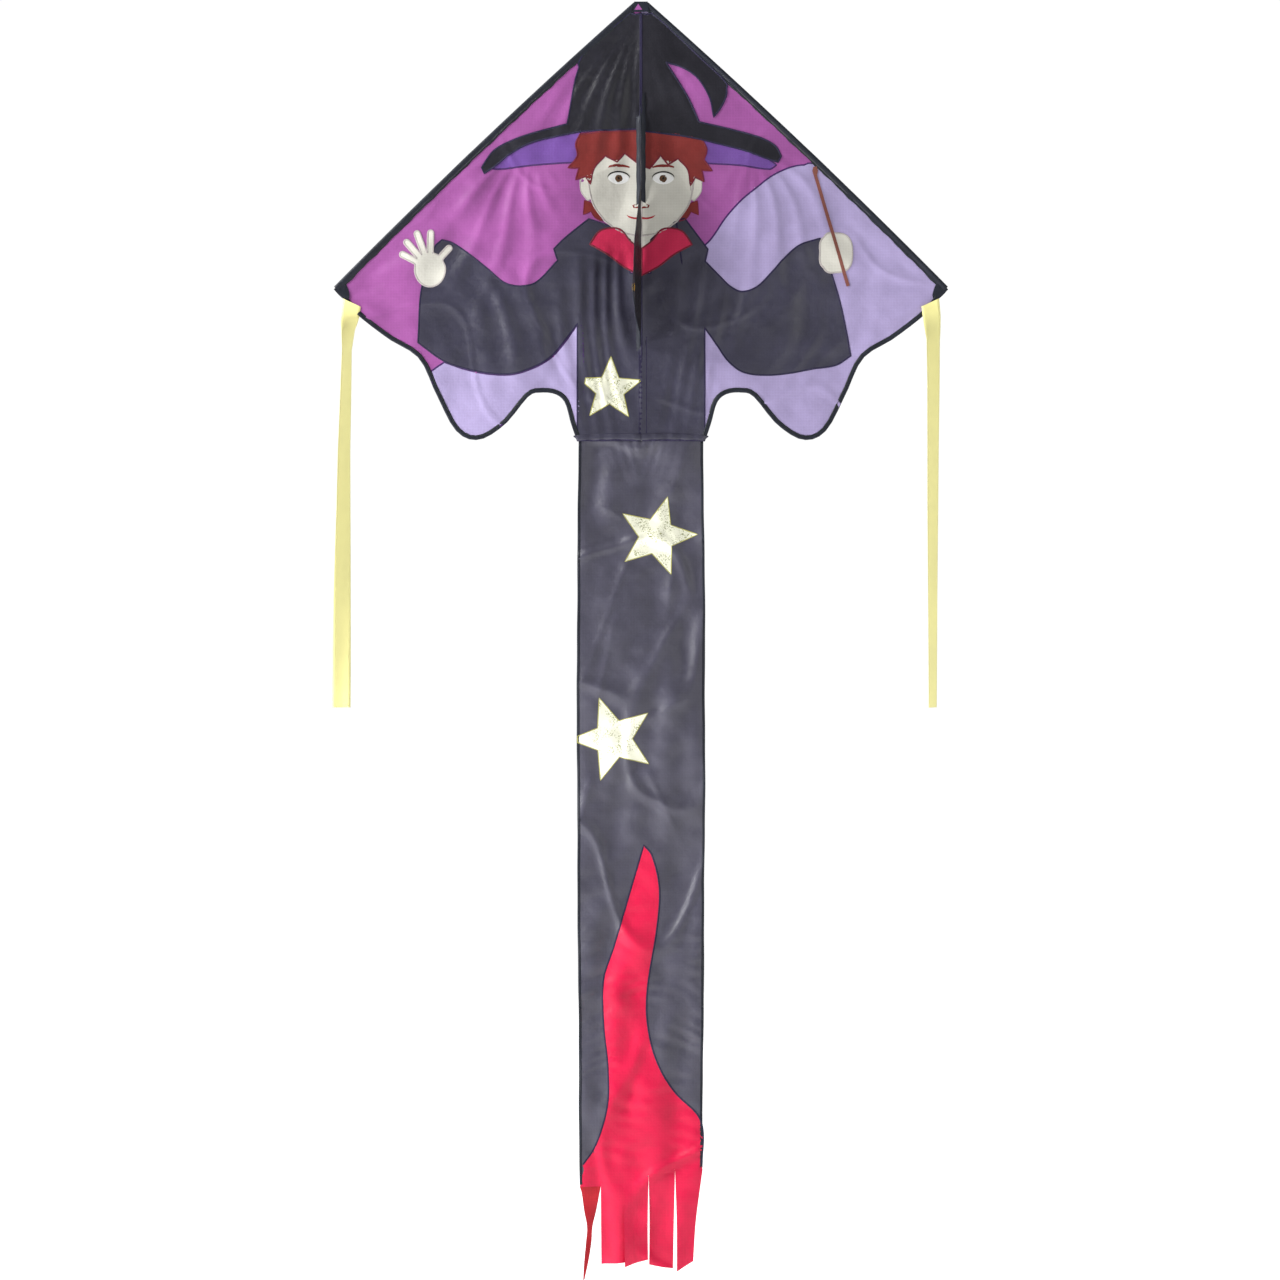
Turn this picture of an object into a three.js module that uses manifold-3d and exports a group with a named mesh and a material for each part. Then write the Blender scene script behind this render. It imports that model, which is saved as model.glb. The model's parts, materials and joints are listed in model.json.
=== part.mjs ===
// Single-line delta kite with a keel: ripstop sail halves on a light rod frame, an appliqué picture of
// a costumed figure, a banner tail that ends in a fringe, and a ribbon at each wing tip.
// Millimetres. X runs along the span, the front faces -Y, Z is up, and the nose is the origin.

import * as THREE from "three";
import { mergeVertices } from "three/addons/utils/BufferGeometryUtils.js";
import Module from "manifold-3d";

const wasm = await Module();
wasm.setup();

// Driving dimensions
const NOSE_HALF_WIDTH = 13;
const TIP = [566, -525]; // outer corner of the right wing tip
const TIP_INNER = [547, -546];
const EDGE_BOW = 6.5; // how far the leading edge bows out of a straight line
const HEM_Z = -808; // the seam between the body and the tail
const HEM_HALF_WIDTH = 117;
const GAP = 0.3; // between pieces that touch
const SEAM_HALF_GAP = 1.2; // each side of the centre seam, where the keel goes in

const CLOTH = 1.0; // thickness of a base panel
const PATCH = 0.6; // thickness of an appliqué panel
const SAIL_FRONT = -CLOTH / 2;
const LAYER_PITCH = PATCH + GAP;
const layerBack = (level) => SAIL_FRONT - GAP - (level - 1) * LAYER_PITCH;

const TIP_PATCH_AT = 0.945; // where the tip patch starts, as a share of the leading edge
const TIP_PATCH_INNER = [[522, -566], [514, -545]];
const EDGE_ROD_SPAN = [0.03, 0.975]; // ends of the rod, as shares of the leading edge
const SLEEVE_BAND = 14; // width of the leading edge sleeve
const EDGE_ROD_RADIUS = 2;
const EDGE_ROD_INSET = 4.2; // rod axis from the outer edge of the sleeve
const SLEEVE_RADIUS = 3.2;
const SLEEVE_BORE = 2.4;
const SPREADER_AT = 0.575; // where the spreader meets the leading edge, as a share of its length

const SPINE_RADIUS = 2.5;
const SPINE_Y = 4.6;
const SPINE_TOP = -16;
const SPINE_BOTTOM = -766;
const SPREADER_RADIUS = 2.5;
const SPREADER_Y = 12;
const CAP_WALL = 1.1;

const KEEL_TOP = -190;
const KEEL_BOTTOM = -630;
const KEEL_DEPTH = 150;
const TOW_Z = -538;
const TOW_INSET = 22; // from the point of the keel back to the eye
const KEEL_AXIS_Y = -5;
const KEEL_LEAN = THREE.MathUtils.degToRad(-6);
const GROMMET_BORE = 4.5;
const GROMMET_RADIUS = 8;

const TAIL_JOINTS = [HEM_Z - 0.5, -1174, -1538];
const TAIL_HALF_WIDTHS = [117, 119, 118, 113];
const FRINGE_CUTS = [-74, -30.5, 14, 62.5];
const FRINGE_TOPS = [-2178, -2173, -2162, -2152, -2146];
const FRINGE_BOTTOMS = [-2347, -2315, -2316, -2320, -2322];

const RIBBON_WIDTH = 32;
const RIBBON_TOP = -580;
const RIBBON_SPLIT = -930;
const RIBBON_BOTTOM = -1298;
const RIBBON_X = { left: -544, right: 539 };

const FAR = 1200;
const MAGENTA = 0xb0649f;
const LAVENDER = 0xb4a6d1;
const ROBE = 0x55546a;
const BLACK = 0x23262f;
const HAT = 0x35353f;
const CREAM = 0xcbc7bf;
const RED = 0xee4168;
const GOLD = 0xf4f5e8;
const YELLOW = 0xf9f4b2;
const WAND_BROWN = 0x96604f;
const CARBON = 0x2b2d33;
const CLIP_BLACK = 0x1d1f24;
const WOOD = 0xb98b56;
const KEEL_TAPE = 0x5a5561;
const BRASS = 0xc9a24a;

// Solids, meshes and outlines
function solidOf(geometry) {
  const bare = geometry.clone();
  bare.deleteAttribute("normal");
  bare.deleteAttribute("uv");
  const merged = mergeVertices(bare, 1e-4);
  const mesh = new wasm.Mesh({
    numProp: 3,
    vertProperties: new Float32Array(merged.attributes.position.array),
    triVerts: new Uint32Array(merged.index.array),
  });
  return new wasm.Manifold(mesh);
}

function geometryOf(solid) {
  const mesh = solid.getMesh();
  const geometry = new THREE.BufferGeometry();
  geometry.setAttribute("position", new THREE.BufferAttribute(new Float32Array(mesh.vertProperties), 3));
  geometry.setIndex(new THREE.BufferAttribute(new Uint32Array(mesh.triVerts), 1));
  geometry.computeVertexNormals();
  return geometry;
}

function mirrored(geometry) {
  const copy = geometry.index ? geometry.toNonIndexed() : geometry.clone();
  copy.applyMatrix4(new THREE.Matrix4().makeScale(-1, 1, 1));
  const corners = copy.attributes.position.array;
  for (let i = 0; i < corners.length; i += 9) {
    for (let k = 0; k < 3; k += 1) {
      const swap = corners[i + 3 + k];
      corners[i + 3 + k] = corners[i + 6 + k];
      corners[i + 6 + k] = swap;
    }
  }
  copy.computeVertexNormals();
  return copy;
}

// A flat sheet with an outline in XZ; its back is at y = back and it is thick towards the front.
function plate(outline, back, thickness) {
  const shape = new THREE.Shape(outline.map(([x, z]) => new THREE.Vector2(x, z)));
  const geometry = new THREE.ExtrudeGeometry(shape, { depth: thickness, bevelEnabled: false });
  geometry.rotateX(Math.PI / 2);
  geometry.translate(0, back, 0);
  return geometry;
}

function smooth(points, divisions) {
  const curve = new THREE.SplineCurve(points.map(([x, z]) => new THREE.Vector2(x, z)));
  return curve.getPoints(divisions).map((p) => [p.x, p.y]);
}

const flipped = (outline, side) => outline.map(([x, z]) => [side * x, z]);
const cut = (geometry, ...tools) =>
  geometryOf(tools.reduce((solid, tool) => solid.subtract(solidOf(tool)), solidOf(geometry)));
const common = (geometry, tool) => geometryOf(solidOf(geometry).intersect(solidOf(tool)));
const joined = (geometry, ...others) =>
  geometryOf(others.reduce((solid, other) => solid.add(solidOf(other)), solidOf(geometry)));

const kite = new THREE.Group();

function add(name, geometry, color, roughness = 0.75, metalness = 0, parent = kite) {
  const mesh = new THREE.Mesh(geometry, new THREE.MeshStandardMaterial({ color, roughness, metalness }));
  mesh.name = name;
  parent.add(mesh);
  return mesh;
}

// The fold line runs from each corner of the nose to the end of the body hem.
function foldX(z) {
  return NOSE_HALF_WIDTH + ((HEM_HALF_WIDTH - NOSE_HALF_WIDTH) * z) / HEM_Z;
}

function region(side, inner) {
  const low = HEM_Z * 1.2;
  const lineTop = inner ? foldX(20) - GAP / 2 : foldX(20) + GAP / 2;
  const lineLow = inner ? foldX(low) - GAP / 2 : foldX(low) + GAP / 2;
  const edge = inner ? SEAM_HALF_GAP : FAR;
  return plate(flipped([[edge, 20], [lineTop, 20], [lineLow, low], [edge, low]], side), 30, 60);
}

// Leading edge: a shallow bow from the nose to the tip, as a curve for the right wing
const edgeStart = new THREE.Vector2(NOSE_HALF_WIDTH, 0);
const edgeEnd = new THREE.Vector2(...TIP);
const edgeAlong = edgeEnd.clone().sub(edgeStart).normalize();
const edgeOut = new THREE.Vector2(-edgeAlong.y, edgeAlong.x);

function edgePoint(t, inset) {
  const bow = 4 * EDGE_BOW * t * (1 - t);
  const point = edgeStart.clone().lerp(edgeEnd, t).addScaledVector(edgeOut, bow - inset);
  return [point.x, point.y];
}

function edgeLine(inset, from, to, steps) {
  const line = [];
  for (let i = 0; i <= steps; i += 1) {
    line.push(edgePoint(from + ((to - from) * i) / steps, inset));
  }
  return line;
}

// A straight-sided section swept along the left leading edge: section x is towards the front, y outwards.
function sweptAlongEdge(section, inset, from, to) {
  const line = edgeLine(inset, from, to, 8);
  const path = new THREE.CatmullRomCurve3(line.map(([x, z]) => new THREE.Vector3(-x, 0, z)));
  return new THREE.ExtrudeGeometry(section, { steps: 10, extrudePath: path });
}

function disc(radius, sides) {
  const shape = new THREE.Shape();
  for (let i = 0; i < sides; i += 1) {
    const angle = (2 * Math.PI * i) / sides;
    shape[i ? "lineTo" : "moveTo"](radius * Math.cos(angle), radius * Math.sin(angle));
  }
  shape.closePath();
  return shape;
}

function sleeveSection() {
  const shape = new THREE.Shape();
  const tail = SLEEVE_BAND - EDGE_ROD_INSET;
  const half = 0.8;
  const arcs = 12;
  shape.moveTo(half, -tail);
  for (let i = 0; i <= arcs; i += 1) {
    const angle = -0.6 + ((Math.PI + 1.2) * i) / arcs;
    shape.lineTo(SLEEVE_RADIUS * Math.cos(angle), SLEEVE_RADIUS * Math.sin(angle));
  }
  shape.lineTo(-half, -tail);
  shape.closePath();
  shape.holes.push(disc(SLEEVE_BORE, 12));
  return shape;
}

// Scalloped trailing edge, from the wing tip to the body hem, as a right-hand line
const TRAILING = [
  [520, -576], [464, -619], [408, -655], [376, -721], [340, -788], [299, -805],
  [251, -777], [208, -726], [184, -718], [157, -721], [139, -737], [128, -775], [117.4, -806],
];
const trailingLine = smooth([TIP_INNER, ...TRAILING], 44);

// The binding is a band just inside the trailing edge. It stops short of the crease, clear of the body.
const BINDING_WIDTH = 10;
const BINDING_CLEARANCE = 4;

function trailingBinding() {
  const clear = BINDING_WIDTH + BINDING_CLEARANCE;
  const line = trailingLine.filter(([x, z]) => x > foldX(z) + clear);
  const inner = line.map(([x, z], i) => {
    const before = line[Math.max(i - 1, 0)];
    const after = line[Math.min(i + 1, line.length - 1)];
    const across = new THREE.Vector2(after[1] - before[1], before[0] - after[0]).normalize();
    return [x + BINDING_WIDTH * across.x, z + BINDING_WIDTH * across.y];
  });
  return [...line, ...inner.reverse()];
}

// Picture outlines. Lists are right-hand or left-hand as the picture needs, in whole millimetres.
const HAT_LEFT = [
  [-1, -22], [-16, -24], [-34, -38], [-107, -106], [-136, -225], [-178, -236], [-234, -254], [-271, -274],
  [-293, -305], [-288, -316], [-268, -302], [-241, -280], [-201, -259], [-147, -246], [-103, -238], [-1, -233],
];
const HAT_RIGHT = [
  [1, -22], [16, -24], [34, -38], [112, -112], [150, -148], [158, -166], [149, -191], [134, -212],
  [126, -176], [104, -140], [76, -121], [46, -112], [84, -172], [107, -221], [164, -234], [219, -250],
  [247, -265], [258, -284], [252, -295], [219, -284], [186, -272], [129, -257], [74, -246], [1, -236],
];
const HEAD_RIGHT = [
  [1, -241], [84, -252], [98, -300], [97, -330], [88, -372], [66, -404], [36, -424], [1, -431],
];
const ROBE_LEFT = [
  [-1, -500], [-20, -500], [-20, -438], [-60, -412], [-96, -400], [-140, -436], [-160, -456], [-153, -477],
  [-193, -517], [-223, -524], [-252, -517], [-283, -491], [-313, -467], [-346, -444], [-366, -438],
  [-379, -451], [-403, -526], [-410, -627], [-362, -661], [-320, -675], [-280, -683], [-237, -684],
  [-201, -673], [-169, -655], [-144, -627], [-117, -592], [-117, -807], [-1, -807],
];
const ROBE_RIGHT = [
  [1, -500], [18, -500], [18, -438], [48, -410], [80, -398], [123, -456], [118, -478], [142, -503],
  [164, -524], [186, -534], [212, -526], [239, -500], [265, -471], [291, -449], [329, -436], [351, -502],
  [370, -570], [386, -651], [359, -668], [317, -675], [269, -684], [223, -687], [186, -681], [160, -661],
  [142, -635], [117, -600], [117, -807], [1, -807],
];
const SKY_LEFT = [
  [-385, -679], [-362, -663], [-320, -677], [-280, -685], [-237, -686], [-200, -675], [-168, -657],
  [-142, -629], [-118, -595], [-118, -760], [-126, -742], [-146, -716], [-178, -706], [-214, -714],
  [-252, -762], [-296, -794], [-332, -782], [-366, -716],
];
const SKY_RIGHT = [
  [324, -309], [283, -300], [243, -319], [208, -346], [186, -364], [156, -397], [126, -440], [100, -400],
  [78, -340], [56, -300], [44, -230], [30, -110], [34, -62], [80, -88], [150, -152], [210, -207], [262, -254],
];
const WAND = [[314, -307], [320, -306], [384, -522], [378, -524]];
const FLAME = [
  [5, -1552], [-17, -1627], [-50, -1739], [-69, -1800], [-69, -1880], [-61, -1960], [-62, -2030],
  [-84, -2104], [-109, -2142], [112, -2142], [110, -2058], [60, -2003], [28, -1946],
  [12, -1880], [12, -1815], [30, -1700], [34, -1630], [20, -1570],
];

// Both hands are plain shapes on textbook proportions. Each digit of the open hand has its direction from the
// hand's axis in degrees, and its length as a share of the hand's; the gaps between the digits are filled.
const HAND_LENGTH = 102;
const HAND_LEAN = 20;
const PALM_RADIUS = 0.275 * HAND_LENGTH;
const DIGITS = [[-62, 0.27], [-21, 0.41], [0, 0.44], [21, 0.4], [42, 0.32]];
const WRIST_TURNS = [76, 132, 190, 248, 304];
const FIST_HALF_SIZE = [30, 36];
const FIST_CORNERS = 12;

function openHand(x, z) {
  const digits = DIGITS.map(([turn, share]) => [turn + HAND_LEAN, PALM_RADIUS + share * HAND_LENGTH]);
  const wrist = WRIST_TURNS.map((turn) => [turn, PALM_RADIUS]);
  return [...digits, ...wrist].map(([turn, reach]) => {
    const angle = THREE.MathUtils.degToRad(turn);
    return [x - reach * Math.sin(angle), z + reach * Math.cos(angle)];
  });
}

function closedHand(x, z) {
  const rounded = (value) => Math.sign(value) * Math.abs(value) ** 0.75;
  const outline = [];
  for (let i = 0; i < FIST_CORNERS; i += 1) {
    const angle = (2 * Math.PI * (i + 0.5)) / FIST_CORNERS;
    outline.push([
      x + FIST_HALF_SIZE[0] * rounded(Math.cos(angle)),
      z + FIST_HALF_SIZE[1] * rounded(Math.sin(angle)),
    ]);
  }
  return outline;
}

function star(x, z, radius, turn) {
  const points = [];
  for (let i = 0; i < 10; i += 1) {
    const reach = i % 2 ? radius * 0.44 : radius;
    const angle = Math.PI / 2 - turn + (i * Math.PI) / 5;
    points.push([x + reach * Math.cos(angle), z + reach * Math.sin(angle)]);
  }
  return points;
}

function patch(name, outline, level, side, inner, color) {
  const whole = plate(outline, layerBack(level), PATCH);
  return add(name, common(whole, region(side, inner)), color);
}

// Frame: spine, leading edge rods, spreader and their fittings
function rod(radius, length) {
  return new THREE.CylinderGeometry(radius, radius, length, 12);
}

function cap(radius, length) {
  const outer = radius + GAP + CAP_WALL;
  const inner = radius + GAP;
  const profile = [[0, length], [outer, length], [outer, 0], [inner, 0], [inner, length - 2], [0, length - 2]];
  return new THREE.LatheGeometry(profile.reverse().map(([r, y]) => new THREE.Vector2(r, y)), 14);
}

const spineRod = add("spine_rod", rod(SPINE_RADIUS, SPINE_TOP - SPINE_BOTTOM), WOOD, 0.6);
spineRod.position.set(0, SPINE_Y, (SPINE_TOP + SPINE_BOTTOM) / 2);
spineRod.rotation.x = Math.PI / 2;

const CAP_LENGTH = 20;
const noseCap = add("spine_nose_cap", cap(SPINE_RADIUS, CAP_LENGTH), BLACK, 0.5);
noseCap.position.set(0, SPINE_Y, SPINE_TOP - CAP_LENGTH + 2 + GAP);
noseCap.rotation.x = Math.PI / 2;
const tailCap = add("spine_tail_cap", cap(SPINE_RADIUS, CAP_LENGTH), BLACK, 0.5);
tailCap.position.set(0, SPINE_Y, SPINE_BOTTOM + CAP_LENGTH - 2 - GAP);
tailCap.rotation.x = -Math.PI / 2;

function spineSleeve() {
  const top = SPINE_TOP - CAP_LENGTH - 2;
  const bottom = SPINE_BOTTOM + CAP_LENGTH + 2;
  const back = SPINE_RADIUS + 0.9;
  const wide = 8.5;
  const shape = new THREE.Shape();
  shape.moveTo(-wide, 0.9 - SPINE_Y);
  shape.lineTo(wide, 0.9 - SPINE_Y);
  shape.lineTo(wide, 1.7 - SPINE_Y);
  shape.lineTo(back, 0.8);
  shape.lineTo(back * 0.7, back * 0.75);
  shape.lineTo(0, back);
  shape.lineTo(-back * 0.7, back * 0.75);
  shape.lineTo(-back, 0.8);
  shape.lineTo(-wide, 1.7 - SPINE_Y);
  shape.closePath();
  shape.holes.push(disc(SPINE_RADIUS + GAP, 12));
  const geometry = new THREE.ExtrudeGeometry(shape, { depth: top - bottom, bevelEnabled: false });
  geometry.translate(0, SPINE_Y, bottom);
  return geometry;
}
add("spine_sleeve", spineSleeve(), BLACK);

const [spreaderX, spreaderZ] = edgePoint(SPREADER_AT, EDGE_ROD_INSET);
const CLIP_LENGTH = 18;
const BOSS_LENGTH = 26;
const CLIP_HALF = 3.9;
const ARM_FRONT = -1;
const edgeAngle = Math.atan2(edgeAlong.y, edgeAlong.x);

// A clip that hooks onto the rod from behind, with a socket for the spreader.
function spreaderClip() {
  const block = new THREE.BoxGeometry(CLIP_LENGTH, SPREADER_Y - ARM_FRONT, 2 * CLIP_HALF);
  block.translate(0, (SPREADER_Y + ARM_FRONT) / 2, 0);
  const slotHalf = EDGE_ROD_RADIUS + 0.35;
  const slot = new THREE.BoxGeometry(CLIP_LENGTH + 2, slotHalf + 5, 2 * slotHalf);
  slot.translate(0, (slotHalf - 5) / 2, 0);
  const hook = cut(block, slot);
  hook.rotateY(-edgeAngle);
  const boss = new THREE.CylinderGeometry(4.4, 4.4, BOSS_LENGTH, 16);
  boss.rotateZ(Math.PI / 2);
  boss.translate(-BOSS_LENGTH / 2 + 3, SPREADER_Y, 0);
  const bore = new THREE.CylinderGeometry(SPREADER_RADIUS + GAP, SPREADER_RADIUS + GAP, BOSS_LENGTH, 12);
  bore.rotateZ(Math.PI / 2);
  bore.translate(-BOSS_LENGTH / 2 - 2, SPREADER_Y, 0);
  const pad = new THREE.BoxGeometry(14, 3, 7);
  pad.translate(-4, SPREADER_Y + 3.4, 0);
  return cut(joined(hook, boss, pad), bore);
}

const clip = spreaderClip();
clip.translate(spreaderX, 0, spreaderZ);
add("spreader_clip_right", clip, CLIP_BLACK, 0.45);
add("spreader_clip_left", mirrored(clip), CLIP_BLACK, 0.45);
const spreader = add("spreader_rod", rod(SPREADER_RADIUS, 2 * (spreaderX - 2 - GAP)), CARBON, 0.35);
spreader.position.set(0, SPREADER_Y, spreaderZ);
spreader.rotation.z = Math.PI / 2;

function edgeSleeve() {
  const sleeve = sweptAlongEdge(sleeveSection(), EDGE_ROD_INSET, 0, 1);
  const window = new THREE.BoxGeometry(CLIP_LENGTH + 2, 20, 2 * (CLIP_HALF + GAP) + 0.6);
  window.translate(0, 10 + ARM_FRONT - GAP, 0);
  window.rotateY(-edgeAngle);
  window.translate(spreaderX, 0, spreaderZ);
  return common(cut(sleeve, mirrored(window)), region(-1, false));
}

const edgeRod = sweptAlongEdge(disc(EDGE_ROD_RADIUS, 10), EDGE_ROD_INSET, ...EDGE_ROD_SPAN);
const leftSleeve = edgeSleeve();

// Sail
const WING_INSET = SLEEVE_BAND + GAP;
const wingOutline = [...edgeLine(WING_INSET, 0, 0.99, 8), ...trailingLine];
const centreOutline = [
  [SEAM_HALF_GAP, -1], [foldX(-1) - 1, -1], [foldX(HEM_Z) - GAP / 2, HEM_Z + GAP], [SEAM_HALF_GAP, HEM_Z + GAP],
];
const nosePatch = [[12.5, 0], [foldX(-19) - 1, -19], [-foldX(-19) + 1, -19], [-12.5, 0]];
add("nose_patch", plate(nosePatch, layerBack(4), PATCH), BLACK);

const SIDES = [
  { name: "left", side: -1, sail: MAGENTA, hat: HAT_LEFT, robe: ROBE_LEFT, sky: SKY_LEFT, skyColor: LAVENDER },
  { name: "right", side: 1, sail: LAVENDER, hat: HAT_RIGHT, robe: ROBE_RIGHT, sky: SKY_RIGHT, skyColor: MAGENTA },
];

function ribbon(x, top, bottom) {
  const half = RIBBON_WIDTH / 2;
  return plate([[x - half, top], [x + half, top], [x + half, bottom], [x - half, bottom]], CLOTH / 2, CLOTH);
}

for (const { name, side, sail, hat, robe, sky, skyColor } of SIDES) {
  const handed = (geometry) => (side < 0 ? geometry : mirrored(geometry));
  const head = flipped(HEAD_RIGHT, side);
  const wingPlate = plate(flipped(wingOutline, side), CLOTH / 2, CLOTH);
  const tipPatch = [
    TIP, TIP_INNER, ...TIP_PATCH_INNER, edgePoint(TIP_PATCH_AT, SLEEVE_BAND), edgePoint(TIP_PATCH_AT, 0),
  ];

  add(`centre_panel_${name}`, plate(flipped(centreOutline, side), CLOTH / 2, CLOTH), sail);
  add(`wing_panel_${name}`, common(wingPlate, region(side, false)), sail);
  add(`edge_rod_${name}`, handed(edgeRod), CARBON, 0.35);
  add(`edge_sleeve_${name}`, handed(leftSleeve), BLACK);
  add(`tip_patch_${name}`, plate(flipped(tipPatch, side), layerBack(4), PATCH), BLACK);
  add(`trailing_binding_${name}`, plate(flipped(trailingBinding(), side), layerBack(3), PATCH), BLACK);
  patch(`hat_inner_${name}`, hat, 4, side, true, HAT);
  patch(`hat_outer_${name}`, hat, 4, side, false, HAT);
  patch(`head_inner_${name}`, head, 3, side, true, CREAM);
  patch(`head_outer_${name}`, head, 3, side, false, CREAM);
  patch(`robe_inner_${name}`, robe, 2, side, true, ROBE);
  patch(`robe_outer_${name}`, robe, 2, side, false, ROBE);
  patch(`sky_patch_${name}`, sky, 1, side, false, skyColor);
  add(`ribbon_upper_${name}`, ribbon(RIBBON_X[name], RIBBON_TOP, RIBBON_SPLIT + 1), YELLOW);
  add(`ribbon_lower_${name}`, ribbon(RIBBON_X[name], RIBBON_SPLIT - 1, RIBBON_BOTTOM), YELLOW);
}

patch("star_body", star(-57, -713, 61, 0.03), 4, -1, true, GOLD);
add("hand_left", plate(openHand(-388, -492), layerBack(3), PATCH), CREAM);
add("hand_right", plate(closedHand(359, -462), layerBack(3), PATCH), CREAM);
add("wand", plate(WAND, layerBack(4), PATCH), WAND_BROWN);

// Keel: a fin that stands out in front of the centre seam, with the tow grommet near its point
function towHole(radius, reach) {
  const hole = new THREE.CylinderGeometry(radius, radius, 2 * reach, 16);
  hole.rotateZ(Math.PI / 2);
  hole.translate(0, -KEEL_DEPTH + TOW_INSET, TOW_Z);
  return hole;
}

// A sheet with an outline in YZ, thick in X
function fin(outline, thickness, middle) {
  const shape = new THREE.Shape(outline.map(([y, z]) => new THREE.Vector2(y, z)));
  const geometry = new THREE.ExtrudeGeometry(shape, { depth: thickness, bevelEnabled: false });
  geometry.applyMatrix4(new THREE.Matrix4().set(0, 0, 1, 0, 1, 0, 0, 0, 0, 1, 0, 0, 0, 0, 0, 1));
  geometry.translate(middle - thickness / 2, 0, 0);
  return geometry;
}

const keel = new THREE.Group();
keel.position.y = KEEL_AXIS_Y;
keel.rotation.z = KEEL_LEAN;
kite.add(keel);
const keelRoot = -1;
const keelPoint = [-KEEL_DEPTH - KEEL_AXIS_Y, TOW_Z];
const keelOutline = [
  [keelRoot, KEEL_BOTTOM], [keelRoot, KEEL_TOP], [-60, -340], [-122, TOW_Z + 42],
  [keelPoint[0] + 6, TOW_Z + 14], [keelPoint[0], TOW_Z - 4], [keelPoint[0] + 12, TOW_Z - 18], [-70, -592],
];
const keelPatch = [
  [-100, TOW_Z - 28], [-96, TOW_Z + 34], [-120, TOW_Z + 36], [keelPoint[0] + 9, TOW_Z + 12],
  [keelPoint[0] + 3, TOW_Z - 4], [keelPoint[0] + 14, TOW_Z - 15],
];
add("keel_fin", cut(fin(keelOutline, CLOTH, 0), towHole(GROMMET_BORE + 1 + GAP, 9)), BLACK, 0.75, 0, keel);
const facing = fin(keelPatch, PATCH, CLOTH / 2 + GAP + PATCH / 2);
add("keel_patch", cut(facing, towHole(GROMMET_RADIUS + GAP, 9)), KEEL_TAPE, 0.75, 0, keel);

function grommet() {
  const flange = 1.2;
  const half = CLOTH / 2 + GAP + flange;
  const ring = [
    [GROMMET_BORE, -half], [GROMMET_RADIUS, -half], [GROMMET_RADIUS, -half + flange], [GROMMET_BORE + 1, -half + flange],
    [GROMMET_BORE + 1, half - flange], [GROMMET_RADIUS, half - flange], [GROMMET_RADIUS, half], [GROMMET_BORE, half],
    [GROMMET_BORE, -half],
  ];
  const geometry = new THREE.LatheGeometry(ring.map(([r, y]) => new THREE.Vector2(r, y)), 20);
  geometry.rotateZ(Math.PI / 2);
  geometry.translate(0, -KEEL_DEPTH + TOW_INSET, TOW_Z);
  return geometry;
}
add("tow_grommet", grommet(), BRASS, 0.35, 0.9, keel);

// Tail: three banner panels, their pictures, and a fringe cut into five strips
const TAIL_NAMES = ["tail_upper", "tail_middle", "tail_lower"];
const tailCorners = [...TAIL_JOINTS, FRINGE_TOPS[2] - 30];
for (let i = 0; i < TAIL_NAMES.length; i += 1) {
  const [top, bottom] = [tailCorners[i] - 1, tailCorners[i + 1] + 1];
  const [wide, low] = [TAIL_HALF_WIDTHS[i], TAIL_HALF_WIDTHS[i + 1]];
  let outline = [[-wide, top], [wide, top], [low, bottom], [-low, bottom]];
  if (i === TAIL_NAMES.length - 1) {
    const ends = [-low, ...FRINGE_CUTS, low];
    const steps = FRINGE_TOPS.flatMap((z, k) => [[ends[k] + 0.01, z], [ends[k + 1], z]]);
    outline = [[wide, top], [-wide, top], ...steps];
  }
  add(TAIL_NAMES[i], plate(outline, CLOTH / 2, CLOTH), ROBE);
}
const fringeEnds = [-TAIL_HALF_WIDTHS[3], ...FRINGE_CUTS, TAIL_HALF_WIDTHS[3]];
for (let i = 0; i < FRINGE_TOPS.length; i += 1) {
  const [from, to] = [fringeEnds[i] + 0.8, fringeEnds[i + 1] - 0.8];
  const [top, bottom] = [FRINGE_TOPS[i] - 2, FRINGE_BOTTOMS[i]];
  add(`fringe_${i + 1}`, plate([[from, top], [to, top], [to, bottom], [from, bottom]], CLOTH / 2, CLOTH), RED);
}
add("star_upper", plate(star(29, -983, 75, 0.27), layerBack(1), PATCH), GOLD);
const clipStar = plate([[-117, -1200], [200, -1200], [200, -1500], [-117, -1500]], 20, 40);
add("star_middle", common(plate(star(-51, -1356, 80, -0.33), layerBack(1), PATCH), clipStar), GOLD);
add("flame", plate(FLAME, layerBack(1), PATCH), RED);

export default kite;
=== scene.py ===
import json
import math

import bmesh
import bpy
import numpy as np
from mathutils import Matrix, Vector
from mathutils.geometry import delaunay_2d_cdt


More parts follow.
